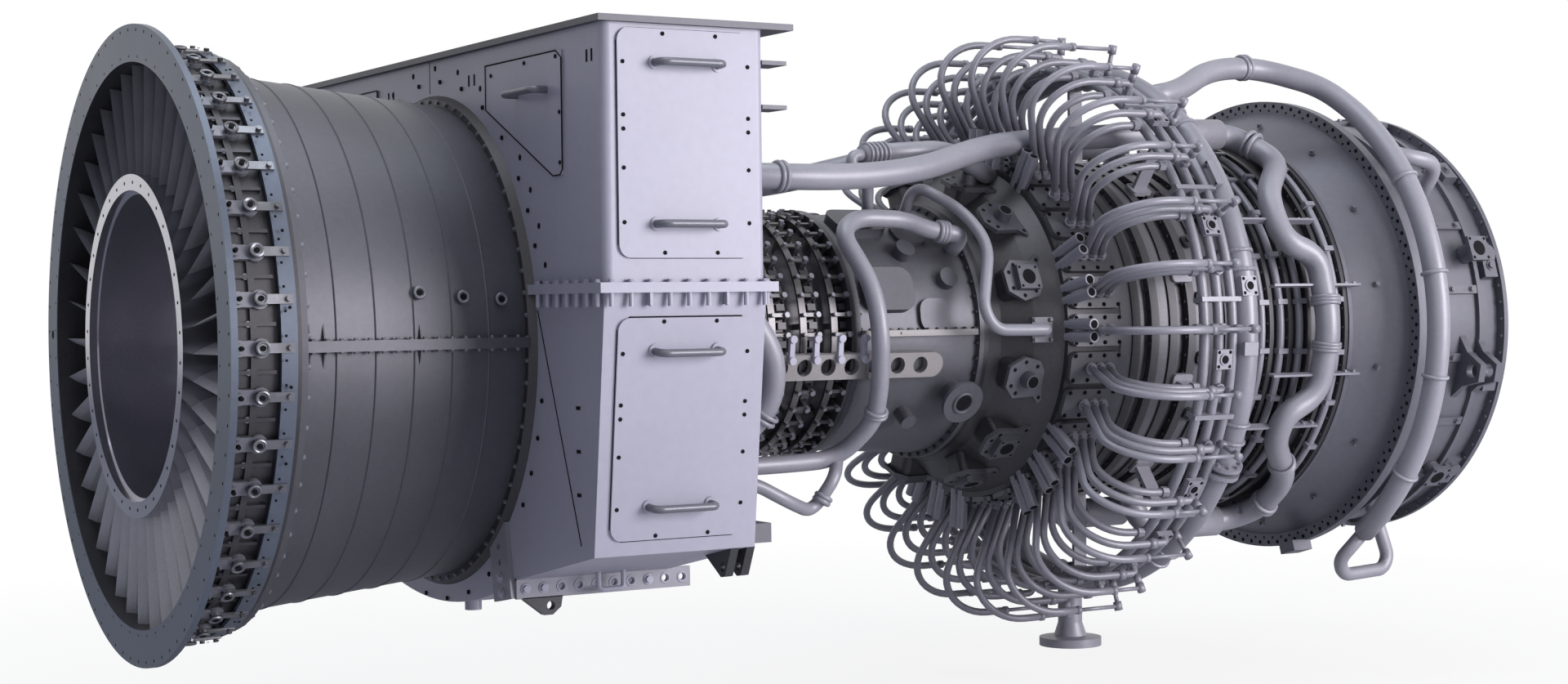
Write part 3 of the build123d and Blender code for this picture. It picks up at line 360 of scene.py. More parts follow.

# Vane stations: an oval pad with two bosses, a bright cap on the spindle and a pin in the unison ring, with
# near-black painted shade in the holes of the pins, caps and unison ring
VANE_COUNT = 42
VANE_PIN_X = 46
VANE_CAP_X = 104
PAD_MIDDLE_X = (VANE_PIN_X + VANE_CAP_X) / 2
PAD_R = 848
PAD_H = 12
PAD_BOLT_X = 34
PIN_FOOT_R = 859
PIN_H = 13
CAP_FOOT_R = 862
CAP_R = 874
BETWEEN_VANES = 4.3
RING_HOLE_X = 168
caps = Pile()
pads = Pile()
vane_hole_shade = Pile()
for a in around(VANE_COUNT):
    pads.peg(VANE_PIN_X, PAD_R, a, 22, PAD_H, 20)
    pads.peg(VANE_CAP_X, PAD_R, a, 26, PAD_H, 20)
    pads.block(PAD_MIDDLE_X, PAD_R + PAD_H / 2, a, (VANE_CAP_X - VANE_PIN_X, 40, 11))
    pads.peg(VANE_PIN_X, PIN_FOOT_R, a, 14, PIN_H, 16)
    vane_hole_shade.peg(VANE_PIN_X, PIN_FOOT_R + PIN_H, a, 7, 1, 10)
    vane_hole_shade.peg(VANE_PIN_X, PIN_FOOT_R + 1, a, 6, 22)
    caps.torus(at(VANE_CAP_X, CAP_R, a), out(a), 16, 5, 20)
    caps.peg(VANE_CAP_X, CAP_FOOT_R, a, 16, CAP_R - CAP_FOOT_R, 16)
    vane_hole_shade.peg(VANE_CAP_X, CAP_R, a, 8, 5, 12)
    caps.peg(UNISON_PIN_X, UNISON_R - 4, a, 8, 8)
    pads.stud(PAD_BOLT_X, CASE_R, a + BETWEEN_VANES, 7, 8)
    pads.peg(PAD_MIDDLE_X, CASE_R, a + BETWEEN_VANES, 9, 9, 10)
for a in around(2 * VANE_COUNT, 2.1):
    vane_hole_shade.peg(RING_HOLE_X, UNISON_R - 0.5, a, 4, 1.5)
caps.make("vane_caps", "lever_steel")
pads.make("vane_pads", "handle_grey")
vane_hole_shade.make("vane_cap_holes", "painted_shade_black")

# Low-pressure compressor barrel
LPC_START = 219
LPC_END = 925
LPC_FRONT_R = 800
LPC_REAR_R = 725
SPLIT_T = 15
SPLIT_BOLT_OUT = 17


def barrel_r(x):
    """Radius of the barrel at a station."""
    return LPC_FRONT_R - (LPC_FRONT_R - LPC_REAR_R) * (x - LPC_START) / (LPC_END - LPC_START)


# Barrel bolts: both end flanges and both split flanges
FRONT_BOLTS = (237, 840)
REAR_BOLTS = (LPC_END + 1, 738)
SPLIT_BOLT_X = [262 + 42 * i for i in range(16)]
barrel = Pile()
for a in around(64, 2):
    barrel.bolt(at(*FRONT_BOLTS, a), X, 7, 8)
for a in around(72, 1):
    barrel.bolt(at(*REAR_BOLTS, a), -X, 6, 7)
for side in SIDES:
    for x in SPLIT_BOLT_X:
        for up in (1, -1):
            barrel.bolt(Vector((x, side * (barrel_r(x) + SPLIT_BOLT_OUT), up * SPLIT_T)), Z * up, 6.5, 7)
barrel.make("barrel_bolts", "handle_grey")

# Gusset spikes on the split flanges
GUSSET_X = (258, 300, 590)
GUSSET_H = 66
spikes = Pile()
for side in SIDES:
    for x in GUSSET_X:
        for up in (1, -1):
            outline = ((-4, SPLIT_T), (12, SPLIT_T), (-4, GUSSET_H))
            faces = [[(x + t, side * (barrel_r(x) + q), up * z) for q, z in outline] for t in (-2, 2)]
            spikes.loft([[Vector(corner) for corner in face] for face in faces])
spikes.make("split_gussets", "lever_steel")

# Rims and bores of the barrel ports, the bores as near-black discs of painted shade
PORTS = ((590, 10.7), (726, 9.9), (848, 9.5))
PORT_H = 14
ports = Pile()
port_holes = Pile()
for x, deg in PORTS:
    for a in both(deg):
        ports.torus(at(x, barrel_r(x) + PORT_H, a), out(a), 15, 5, 20)
        port_holes.peg(x, barrel_r(x) + PORT_H, a, 9, 1, 16)
ports.make("barrel_ports", "handle_grey", True)
port_holes.make("barrel_port_holes", "painted_shade_black")

# Bleed collector box: its front, mid flange and side covers
BOX_FRONT = 949
BOX_SPLIT_Z = 149
SHOULDER_Z = -586
SIDE_TAPER = 84
LEAN = SIDE_TAPER / (BOX_SPLIT_Z - SHOULDER_Z)
COVER_Y = 1181.5
COVER_FACE_Y = 1187
COVER_X = (991, 1413)
COVERS_Z = ((229, 851), (-546, 69))
COVER_CUT = 36
HANDLE_X = (1104, 1300)


def cover_at(side, x, y, z):
    """Point on a side cover, y out from the axis. The lower cover leans in below the mid flange."""
    return Vector((x, side * (y - LEAN * max(0, BOX_SPLIT_Z - z)), z))


def cover_out(side, z):
    """Direction away from a side cover."""
    return Vector((0, side, -LEAN if z < BOX_SPLIT_Z else 0))


# Box screws, flange studs and slots; the screw holes and slots are near-black painted shade, with dark dots
# beside the frame screws
END_SCREWS_Z = (758, 615, 577, 472, 325, -30, -170, -208, -312, -456)
cover_screws = [(x, z) for x in (COVER_X[0] + 16, COVER_X[1] - 16) for z in END_SCREWS_Z]
cover_screws += [(x, z) for x in (1130, 1295) for z in (243, 838, 56, -534)]
PANEL_SCREWS = ((470, 780), (700, 796), (905, 796), (926, 640), (926, 500))
FRAME_SCREW_R = 800
FRAME_DOT_R = 842
FRAME_SCREWS_DEG = (12, 20, 28, 36, 48, 60, 72, 84)
STUD_FOOT_Z = 98
STUD_LEN = 37
STUD_NUT_Z = BOX_SPLIT_Z + 14
FLANGE_GUSSETS_X = (1080, 1320)
TOP_SLOTS_Y = (300, 340, 1090, 1120)
LOW_SLOTS_Z = (-180, -300, -420)
shade_face_x = BOX_FRONT - 0.4
stud_places = [(962 + 60 * i, 1193) for i in range(9)]
stud_places += [(x, 790 + 62 * i) for x in (936, 1468) for i in range(7)]
screw_hole_shade = Pile()
studs = Pile()
slot_shade = Pile()
for side in SIDES:
    for x, z in cover_screws:
        screw_hole_shade.cyl(cover_at(side, x, COVER_FACE_Y, z), cover_out(side, z), 6, 3.5, 12)
    for y, z in PANEL_SCREWS:
        screw_hole_shade.cyl(Vector((BOX_FRONT - 3, side * y, z)), -X, 6, 4, 10)
    for deg in FRAME_SCREWS_DEG:
        a = deg if side < 0 else 180 - deg
        screw_hole_shade.cyl(at(BOX_FRONT, FRAME_SCREW_R, a), -X, 7, 5, 10)
        screw_hole_shade.cyl(at(BOX_FRONT, FRAME_SCREW_R, -a), -X, 7, 5, 10)
        slot_shade.cyl(at(BOX_FRONT, FRAME_DOT_R, a + 3), -X, 9, 1, 12)
    for x, y in stud_places:
        studs.cyl(Vector((x, side * y, STUD_FOOT_Z)), Z, 7, STUD_LEN, 10)
        studs.bolt(Vector((x, side * y, STUD_NUT_Z)), Z, 8, 9)
    for x in FLANGE_GUSSETS_X:
        studs.box(Vector((x, side * 1188, 118)), X, Z, (8, 26, 34))
    for y in TOP_SLOTS_Y:
        slot_shade.box(Vector((shade_face_x, side * y, 780)), Y, -X, (10, 34, 1))
    for z in LOW_SLOTS_Z:
        slot_shade.box(Vector((shade_face_x, side * 1010, z)), Y, -X, (26, 10, 1))
slot_shade.box(Vector((BOX_FRONT - 0.2, 0, 815)), Z, -X, (98, 3, 1))
screw_hole_shade.make("box_screw_hole_shade", "painted_shade_black")
studs.make("box_flange_studs", "box_paint")
slot_shade.make("box_slot_shade", "painted_shade_black")

# Round feet under the bail handles
HANDLE_FEET = ((1188, 759), (1188, 321), (1189, -23), (1189, -452))
feet = Pile()
for side in SIDES:
    for y, z in HANDLE_FEET:
        for x in HANDLE_X:
            feet.cyl(cover_at(side, x, y, z), cover_out(side, z), 19, 5, 14)
feet.make("handle_feet", "box_paint")

# Base strips: washers, bolts, a pull on each and a drain stub under the belly
STRIP_HOLES = 10
STRIP_PITCH = 57.6
STRIP_BOLTED = (0, 1, 7)
STRIP_Y = 590
STRIP_Z = -720
END_PLATE = (935, 503, -647)
END_PLATE_LEAN = math.radians(10)
END_HOLE_PITCH = 46
DRAIN_STUB = Vector((1000, -161, -785))
PULL = [(1185, 650, -674), (1185, 650, -718), (1187, 651, -726), (1194, 652, -731)]
PULL += [(1258, 652, -731), (1265, 651, -726), (1267, 650, -718), (1267, 650, -674)]
strips = Pile()
for side in SIDES:
    for i in range(STRIP_HOLES):
        place = Vector((BOX_FRONT + STRIP_PITCH * (i + 0.5), side * STRIP_Y, STRIP_Z))
        strips.torus(place, Y * side, 14.5, 3, 18, 6)
        if i in STRIP_BOLTED:
            strips.bolt(place, Y * side, 12, 12)
    for k in (-2, -1):
        x, y, z = END_PLATE
        y -= END_HOLE_PITCH * k * math.sin(END_PLATE_LEAN)
        z += END_HOLE_PITCH * k * math.cos(END_PLATE_LEAN)
        strips.bolt(Vector((x, side * y, z)), -X, 12, 10)
    strips.pipe([Vector((x, side * y, z)) for x, y, z in PULL], 8)
strips.cyl(DRAIN_STUB, -Z, 26, 41, 24)
strips.make("strip_bolts", "box_paint")

# Painted shade in the seams around the front panels and side covers, and down the lower front, as thin
# near-black tubes
PANEL = [(430, 812), (905, 812), (940, 790), (940, 480), (925, 466), (880, 465), (430, 682), (430, 812)]
PANEL_X = BOX_FRONT - 4.5
FRONT_SEAM = [(760, 90), (1020, -560)]


def cut_corners(x0, x1, z0, z1, cut):
    """Closed outline of a rectangle with its corners cut off."""
    bottom = [(x0 + cut, z0), (x1 - cut, z0), (x1, z0 + cut), (x1, z1 - cut)]
    return bottom + [(x1 - cut, z1), (x0 + cut, z1), (x0, z1 - cut), (x0, z0 + cut), (x0 + cut, z0)]


seam_shade = Pile()
for side in SIDES:
    seam_shade.pipe([Vector((PANEL_X, side * y, z)) for y, z in PANEL], 2.2, 6)
    seam_shade.pipe([Vector((shade_face_x, side * y, z)) for y, z in FRONT_SEAM], 2.0, 6)
    for heights in COVERS_Z:
        outline = cut_corners(*COVER_X, *heights, COVER_CUT)
        seam_shade.pipe([cover_at(side, x, COVER_Y, z) for x, z in outline], 2.0, 6)
seam_shade.make("box_seam_shade", "painted_shade_black")

# Variable stator gear: nuts on the levers and rings, links and bolts on the case between them
ROW_X = [1690 + 118 * i for i in range(5)]
ROW_LEVERS = 40
LEVER_STEM_X = 62
NUT_R = 405
LINK_R = 371
CASE_BOLT = (96, 352)
BAND = (92, 358)
gear = Pile()
links = Pile()
for x in ROW_X:
    for a in around(ROW_LEVERS):
        gear.peg(x + 12, NUT_R, a, 7, 15)
        gear.peg(x + LEVER_STEM_X, NUT_R, a, 10, 17, 6)
        links.block(x + LEVER_STEM_X, LINK_R, a + 180 / ROW_LEVERS, (30, 22, 24))
    for a in around(60, 3):
        links.stud(x + CASE_BOLT[0], CASE_BOLT[1], a, 6, 9)
    links.torus(X * (x + BAND[0]), X, BAND[1], 7, 64, 6)
gear.make("stator_nuts", "handle_grey")
links.make("stator_links", "dark_case")

# Cranks from the actuator beams to the rings
CRANK_X = [1985 + 92 * i for i in range(4)]
CRANK_DEG = -6
CRANK_SWING = 4.4
CRANK_R = 446
cranks = Pile()
for a in both(CRANK_DEG):
    for x in CRANK_X:
        cranks.block(x, CRANK_R, a, (18, 84, 14))
        for turn in (CRANK_SWING, -CRANK_SWING):
            cranks.cyl(at(x, CRANK_R + 7, a + turn), out(a), 13, 9, 12)
cranks.make("stator_cranks", "box_paint")

# Split strip on the rear case, and the bolts of the joints around it
REAR_CASE_END = 2743
FLANGE_BACK = (2268, 408)
JOINT_R = 433
STRIP_LAYERS = ((2497, 422, (450, 34, 20)), (2560, 432, (300, 22, 8)))
SPLIT_NUT_X = [2295 + 38 * i for i in range(12)]
joints = Pile()
for a in around(52, 2):
    joints.bolt(at(*FLANGE_BACK, a), X, 6, 8)
    joints.bolt(at(REAR_CASE_END - 18, JOINT_R, a), -X, 6, 8)
    joints.bolt(at(REAR_CASE_END + 18, JOINT_R, a), X, 6, 8)
strip = Pile()
for side in SIDES:
    for x, y, sizes in STRIP_LAYERS:
        strip.box(Vector((x, side * y, 0)), X, Z, sizes)
    for x in SPLIT_NUT_X:
        joints.bolt(Vector((x, side * 430, 10)), Z, 6, 7)
strip.make("rear_split_strip", "beam_paint")
joints.make("case_joint_bolts", "dark_case")

# Dome bosses: uneven plates with a round or a square port in turn, with near-black discs of painted shade in
# the port bores and pin holes
BOSS_X = 2861.5
BOSS_FOOT_R = 530
BOSS_R = 546
ROUND_H = 34
SQUARE_R = BOSS_R + 22
BOSSES_DEG = (45, 18.8, -17.2, -44.9, 70, -70)
BOSS_OUTLINE = [(-84, -26), (-50, -66), (34, -62), (62, -88), (90, -60)]
BOSS_OUTLINE += [(72, 18), (44, 62), (-20, 78), (-78, 44)]
BOSS_PINS = [(-64, -22), (-40, -48), (60, -66), (34, 44), (-16, 60), (-58, 34)]
SQUARE_PIN = 33
bosses = Pile()
bores = Pile()
for i, deg in enumerate(BOSSES_DEG):
    square = i % 2 == 1
    outline = list(reversed(BOSS_OUTLINE)) if square else BOSS_OUTLINE
    for a in both(deg):
        side = out(a + 90) * (-1 if square else 1)
        bosses.loft([[at(BOSS_X + p, r, a) + side * q for p, q in outline] for r in (BOSS_FOOT_R, BOSS_R)])
        for p, q in BOSS_PINS:
            bores.cyl(at(BOSS_X + p, BOSS_R, a) + side * q, out(a), 7, 1.2, 10)
        if square:
            bosses.block(BOSS_X, SQUARE_R - 12, a, (84, 84, 24))
            bores.peg(BOSS_X, SQUARE_R, a, 26, 1, 20)
            for p, q in CORNERS:
                place = at(BOSS_X + SQUARE_PIN * p, SQUARE_R, a) + side * SQUARE_PIN * q
                bores.cyl(place, out(a), 5, 1)
        else:
            bosses.peg(BOSS_X, BOSS_R, a, 30, ROUND_H, 20, 26)
            bores.peg(BOSS_X, BOSS_R + ROUND_H, a, 20, 1, 18)

# Square flange at the end of the dome pipe, and the rim of the big port on the rear case, with painted shade
# as a near-black disc in the big port's bore
DOME_PIPE_DEG = 0.4
DOME_PIPE_X = 2880
DOME_FLANGE_R = 583
BIG_PORT = (2657, 498)
BIG_PORT_DEG = -28.4
bosses.block(DOME_PIPE_X, DOME_FLANGE_R - 8, DOME_PIPE_DEG, (84, 84, 16))
for p, q in CORNERS:
    place = at(DOME_PIPE_X + SQUARE_PIN * p, DOME_FLANGE_R, DOME_PIPE_DEG) + Z * SQUARE_PIN * q
    bosses.bolt(place, out(DOME_PIPE_DEG), 7, 8)
for a in both(BIG_PORT_DEG):
    bosses.torus(at(*BIG_PORT, a), out(a), 36, 7, 28)
    bores.peg(*BIG_PORT, a, 32, 1, 24)
bosses.make("dome_bosses", "case_metal")
bores.make("boss_bores", "painted_shade_black")

# Fuel hoops: where each row stands on the plates, how far its legs lean forward and its top radius,
# then the height and lengths of the bend over, and the radius of the pipe and of the outer row's rod
STATIONS = 30
PLATE_R = 606
HOOPS = {"outer": (3072, 108, 1036), "middle": (3112, 92, 980), "inner": (3150, 74, 928)}
KNEE = 190
LEVEL = 74
BEND_UP = 105
BEND_OVER = 125
HOOP_R = 13
ROD_X = 3222
ROD_R = 7

# Premixer plates: near-black bolts, pipe collars and a pair of stub tubes at three stations in five, with a
# near-black disc of painted shade in each stub's bore
PLATE_BOLT_X = [3091.5 + 92 * i for i in (-1, -0.33, 0.33, 1)]
PLATE_BOLT_R = 612
PLATE_BOLT_OUT = 42
STUB_X = 2994
STUB_FOOT_R = 574
STUB_LEN = 140
STUB_OUT = 21
COLLAR_H = 24
STUB_SHIFTS = {5: -2, 6: 2, 10: 2}
plates = Pile()
collars = Pile()
stub_bores = Pile()
for k, a in enumerate(around(STATIONS)):
    for x in PLATE_BOLT_X:
        for j in SIDES:
            plates.bolt(at(x, PLATE_BOLT_R, a) + out(a + 90) * PLATE_BOLT_OUT * j, out(a), 5.5, 6)
    for base, lean, top in HOOPS.values():
        leg = out(a) * (top - KNEE - PLATE_R) - X * lean
        collars.cyl(at(base, PLATE_R, a), leg, 20, COLLAR_H, 14)
        collars.cyl(at(base, PLATE_R, a) + leg.normalized() * COLLAR_H, leg, 16, 18, 6)
    if k % 5 < 3:
        stub_a = a + STUB_SHIFTS.get(k, 0)
        for j in SIDES:
            foot = at(STUB_X, STUB_FOOT_R, stub_a) + out(stub_a + 90) * STUB_OUT * j
            collars.cyl(foot, out(stub_a), 19, STUB_LEN, 16)
            stub_bores.cyl(foot + out(stub_a) * STUB_LEN, out(stub_a), 14, 1, 14)
plates.make("plate_bolts", "painted_shade_black")
collars.make("pipe_collars", "pipe_metal")
stub_bores.make("stub_bores", "painted_shade_black")

# Fuel rings and manifold: their stations and radii
RING_X = (3283, 3344, 3404)
RING_R = 928
RING_TOP_R = 940
HIGH_END_R = 988
MANIFOLD_X = 3470
MANIFOLD_R = 916


def outer_end(pile, k, a, top):
    """Thin rod and stem that end an outer hoop, on the rear and the middle ring in turn."""
    end_x, low = (RING_X[2], RING_TOP_R) if k % 2 == 0 else (RING_X[1], HIGH_END_R)
    pile.cyl(at(ROD_X - 4, top, a), X, 15, 16, 12)
    pile.pipe([at(ROD_X, top, a), at(end_x, top, a)], ROD_R, 8)
    pile.peg(end_x, low, a, 8, top - low)
    pile.peg(end_x, top - 16, a, 15, 30)
    pile.peg(end_x, low, a, 15, 30, 6)


# Fuel hoops: legs that lean forward and an easy bend over to the rings
for key, (base, lean, top) in HOOPS.items():
    hoops = Pile()
    for k, a in enumerate(around(STATIONS)):
        foot = at(base, PLATE_R, a)
        knee = at(base - lean, top - KNEE, a)
        level = at(base + LEVEL, top, a)
        rise = knee + (knee - foot).normalized() * BEND_UP
        line = [foot] + bezier(knee, rise, level - X * BEND_OVER, level)
        if key == "outer":
            hoops.pipe(line + [at(ROD_X, top, a)], HOOP_R)
            outer_end(hoops, k, a, top)
        elif key == "middle":
            down = rounded([level, at(RING_X[1], top, a), at(RING_X[1], RING_TOP_R, a)], 34)
            hoops.pipe(line[:-1] + down, HOOP_R)
            hoops.cyl(at(3268, top, a), X, 19, 26)
        else:
            hoops.pipe(line + [at(RING_X[0], top, a)], HOOP_R)
    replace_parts(hoops.make("fuel_hoops_" + key, "pipe_metal", True), "fuel_pipes_" + key)

# Fuel rings: unions on the pipes and clamps across the rings
UNION_X = 3240
UNION_R = 19
CLAMP_X = 3345
unions = Pile()
for a in around(STATIONS):
    unions.cyl(at(UNION_X, RING_R, a), X, UNION_R, 26)
    unions.peg(RING_X[1], RING_R + 8, a, UNION_R, 20)
for a in around(15, 6):
    unions.block(CLAMP_X, RING_R, a, (170, 16, 46))

# Manifold: joint flanges, a strap and a clip on each side, and pairs of beads
JOINT_DEG = -30
JOINT_T = 15
JOINT_BOLTS = 10
STRAP_X = 3440
STRAP_DEG = 33
CLIP_X = 3452
CLIP_DEG = -4
for a in both(JOINT_DEG):
    for turn, step in ((90, 1), (-90, JOINT_T + 1)):
        axis = out(a + turn)
        foot = at(MANIFOLD_X, MANIFOLD_R, a) + axis * step
        unions.cyl(foot, axis, 72, JOINT_T, 28)
        for place in ring(foot + axis * JOINT_T, X, out(a), 60, JOINT_BOLTS):
            unions.bolt(place, axis, 7, 8)
for a in both(STRAP_DEG):
    along = out(a + 90)
    unions.box(at(STRAP_X, 962, a), along, out(a), (96, 26, 10))
    for j in SIDES:
        unions.box(at(STRAP_X, 950, a) + along * 44 * j, along, out(a), (10, 26, 30))
for a in both(CLIP_DEG):
    unions.block(CLIP_X, 964, a, (60, 44, 16))
for a in around(10, 12):
    for bead in (a, a + 4):
        unions.torus(at(MANIFOLD_X, MANIFOLD_R, bead), out(bead + 90), 48, 7, 22)
unions.make("ring_unions", "pipe_metal")

# Square ports on the middle ring and one on the manifold, with near-black discs of painted shade in their
# bores and pin holes
RING_PORTS = [(RING_X[1], deg) for deg in (49, 21, -6, -34, -49)] + [(3462, 8.5)]
PORT_FACE_R = 962
PORT_PIN = 24
ring_ports = Pile()
ring_holes = Pile()
for x, deg in RING_PORTS:
    for a in both(deg):
        ring_ports.block(x, PORT_FACE_R - 10, a, (66, 66, 20))
        ring_ports.peg(x, PORT_FACE_R, a, 20, 4, 18)
        ring_holes.peg(x, PORT_FACE_R + 4, a, 14, 1.2, 16)
        for i, j in CORNERS:
            place = at(x + PORT_PIN * i, PORT_FACE_R, a) + out(a + 90) * PORT_PIN * j
            ring_holes.cyl(place, out(a), 6, 1.2, 10)
ring_ports.make("ring_ports", "pipe_metal")
ring_holes.make("ring_port_holes", "painted_shade_black")

# Turbine cases: the front one is straight, the rear one widens, and both have six ribs
RIBS = 6
HPT_START = 3203
HPT_END = 3701
HPT_R = 572
HPT_PITCH = (HPT_END - HPT_START) / RIBS
HPT_RIB_W = 34
LPT_END = 4138
LPT_R0 = 596
LPT_R1 = 700
LPT_PITCH = (LPT_END - HPT_END) / RIBS
LPT_RIB_W = 18


def rear_case_r(x):
    """Radius of the rear turbine case at a station."""
    return LPT_R0 + (LPT_R1 - LPT_R0) * (x - HPT_END) / (LPT_END - HPT_END)


# Turbine bolts on the front faces of the ribs, and bolted bosses on the front case
CASE_BOSS_X = 3560
CASE_BOSS_FOOT_R = 560
CASE_BOSS_H = 52
turbine = Pile()
for i in range(RIBS):
    for a in around(60, i):
        turbine.bolt(at(HPT_START + HPT_PITCH * (i + 1) - HPT_RIB_W, HPT_R + 17, a), -X, 6, 7)
    x = HPT_END + LPT_PITCH * (i + 1) - LPT_RIB_W
    for a in around(66, i):
        turbine.bolt(at(x, rear_case_r(x) + 16, a), -X, 5, 6)
for a in around(18, 10):
    turbine.peg(CASE_BOSS_X, CASE_BOSS_FOOT_R, a, 24, CASE_BOSS_H, 14)
    turbine.stud(CASE_BOSS_X, CASE_BOSS_FOOT_R + CASE_BOSS_H, a, 14, 12)
turbine.make("turbine_bolts", "dark_case")

# Bands of several heights between the ribs of the front case
BAND_HEIGHTS = (25, 8, 23, 2, 22, 12)
bands = Pile()
for i, height in enumerate(BAND_HEIGHTS):
    start = HPT_START + HPT_PITCH * i + 0.5
    stop = start + HPT_PITCH - HPT_RIB_W - 1
    low = HPT_R - 4
    high = HPT_R + height
    bands.turned([(start, low), (stop, low), (stop, high), (start, high)], 180)
bands.make("front_case_bands", "plate_metal")

# Straps over the cooling tubes
straps = Pile()
for a in around(24, 7.5):
    for i in (1, 2, 3, 5):
        x = HPT_END + (i + 0.45) * LPT_PITCH
        straps.block(x, rear_case_r(x) + 20, a, (44, 18, 26))
straps.make("cooling_straps", "pipe_metal")

# Rear cone and frame: bolt circles, pads, lugs and a block under the cone flange
CONE_FLANGE_X = 4352
CONE_FLANGE_BACK = 4391
FRAME_R = 772
FRAME_FLANGE_X = 4840
PAD_X = 4640
LUG_X = 4790
CONE_BOLT = (4250, 765)
CONE_SLOPE = 0.45
CONE_BLOCK = (4330, 872, -74)
rear = Pile()
for a in around(80, 1):
    rear.bolt(at(CONE_FLANGE_BACK, 838, a), X, 7, 9)
    rear.bolt(at(FRAME_FLANGE_X, 792, a), -X, 6, 8)
for a in around(20, 9):
    rear.block(PAD_X, FRAME_R + 10, a, (160, 30, 22))
    for x in (PAD_X - 50, PAD_X + 50):
        rear.stud(x, FRAME_R + 21, a, 9, 10)
for a in around(12, 15):
    rear.block(LUG_X, FRAME_R + 18, a, (64, 84, 40))
    rear.stud(LUG_X, FRAME_R + 38, a, 13, 12)
for a in around(16, 11):
    rear.bolt(at(*CONE_BOLT, a), out(a) - X * CONE_SLOPE, 9, 12)
rear.block(*CONE_BLOCK, (90, 76, 40))
rear.make("rear_bolts", "rear_metal")

# Nozzles on the rear frame, and the holes in them and in the cone flange, drawn as near-black discs of
# painted shade
NOZZLE_X = 4700
NOZZLE_PIN = 36
NOZZLES = ((18.6, 66), (-43.6, 40))
nozzles = Pile()
rear_holes = Pile()
for a in around(110):
    rear_holes.cyl(at(CONE_FLANGE_X, 840, a), -X, 7.5, 1.5, 10)
    rear_holes.cyl(at(CONE_FLANGE_X, 822, a + 1.6), -X, 5, 1.5)
for deg, tall in NOZZLES:
    face_r = FRAME_R + tall + 22
    for a in both(deg):
        nozzles.peg(NOZZLE_X, FRAME_R + 8, a, 34, tall, 20)
        nozzles.block(NOZZLE_X, face_r - 8, a, (92, 92, 16))
        rear_holes.peg(NOZZLE_X, face_r, a, 28, 1.2, 20)
        for p, q in CORNERS:
            place = at(NOZZLE_X + NOZZLE_PIN * p, face_r, a) + out(a + 90) * NOZZLE_PIN * q
            rear_holes.cyl(place, out(a), 6, 1.2)
nozzles.make("frame_nozzles", "rear_metal")
rear_holes.make("rear_flange_holes", "painted_shade_black")

# Cooling ducts: an easy run along the top of the engine, then S bends around the turbine and fat sleeves
DUCT_R = 42
FRONT_EASE = 190
BACK_EASE = 82
DUCT_LINE_R = 763
SLEEVE_R = 56
DUCT_FRONT = [(1455, 704, 45.2), (2180, 704, 45.5), (2480, 704, 49.5), (2890, 704, 65.2), (3480, 752, 66)]
DUCT_BENDS = [(3960, 66.5), (4035, 51), (3862, 37.5), (3848, 23), (3990, 19)]
DUCT_LOW_BENDS = [(3985, -18), (3850, -24), (3850, -32), (4010, -46), (4026, -60), (3965, -69)]
duct_back = [DUCT_FRONT[-1]] + [(x, DUCT_LINE_R, deg) for x, deg in DUCT_BENDS] + [(3985, 783, 0)]
duct_back += [(x, DUCT_LINE_R, deg) for x, deg in DUCT_LOW_BENDS] + [(3552, 757, -70), (3548, 590, -70)]
SLEEVES = (((3600, 755.5, 66.1), (3900, 762, 66.4)), ((3620, 758, -69.9), (3900, 762, -69.2)))
ducts = Pile()
for far in (False, True):
    ducts.pipe(run(DUCT_FRONT, FRONT_EASE, far) + run(duct_back, BACK_EASE, far)[1:], DUCT_R, 24)
    for start, stop in SLEEVES:
        ends = (side_at(far, *start), side_at(far, *stop))
        ducts.pipe([ends[0].lerp(ends[1], t) for t in (0, 0.5, 1)], SLEEVE_R, 24)
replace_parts(ducts.make("duct_runs", "duct_metal", True), "cooling_ducts")

# Arch pipe: from the manifold over the cone and down the near side, with a loop at its foot and a branch
ARCH_R = 40
LOOP_R = 25
BRANCH_R = 28
ARCH_X = 4340
ARCH_LINE_R = 958
ARCH_START = [(MANIFOLD_X, MANIFOLD_R, 62), (3630, 934, 64), (3850, 985, 71), (4080, 1000, 72)]
ARCH_START += [(4280, 985, 63)]
arch_route = ARCH_START + [(ARCH_X, ARCH_LINE_R, 54 - 9 * i) for i in range(12)] + [(4380, 938, -54)]
LOOP = [(4380, -551, -759), (4330, -468, -872), (4372, -448, -930), (4580, -440, -922)]
LOOP += [(4612, -436, -876), (4584, -425, -777), (4565, -388, -655)]
BRANCH = [(ARCH_X, ARCH_LINE_R, 40), (4570, 948, 38), (4570, 766, 35)]
arch = Pile()
arch.pipe(run(arch_route, 160), ARCH_R, 24)
arch.pipe(rounded([Vector(place) for place in LOOP], 60), LOOP_R, 16)
arch.pipe(run(BRANCH, 80), BRANCH_R, 18)
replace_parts(arch.make("arch_runs", "duct_metal", True), "arch_pipe")

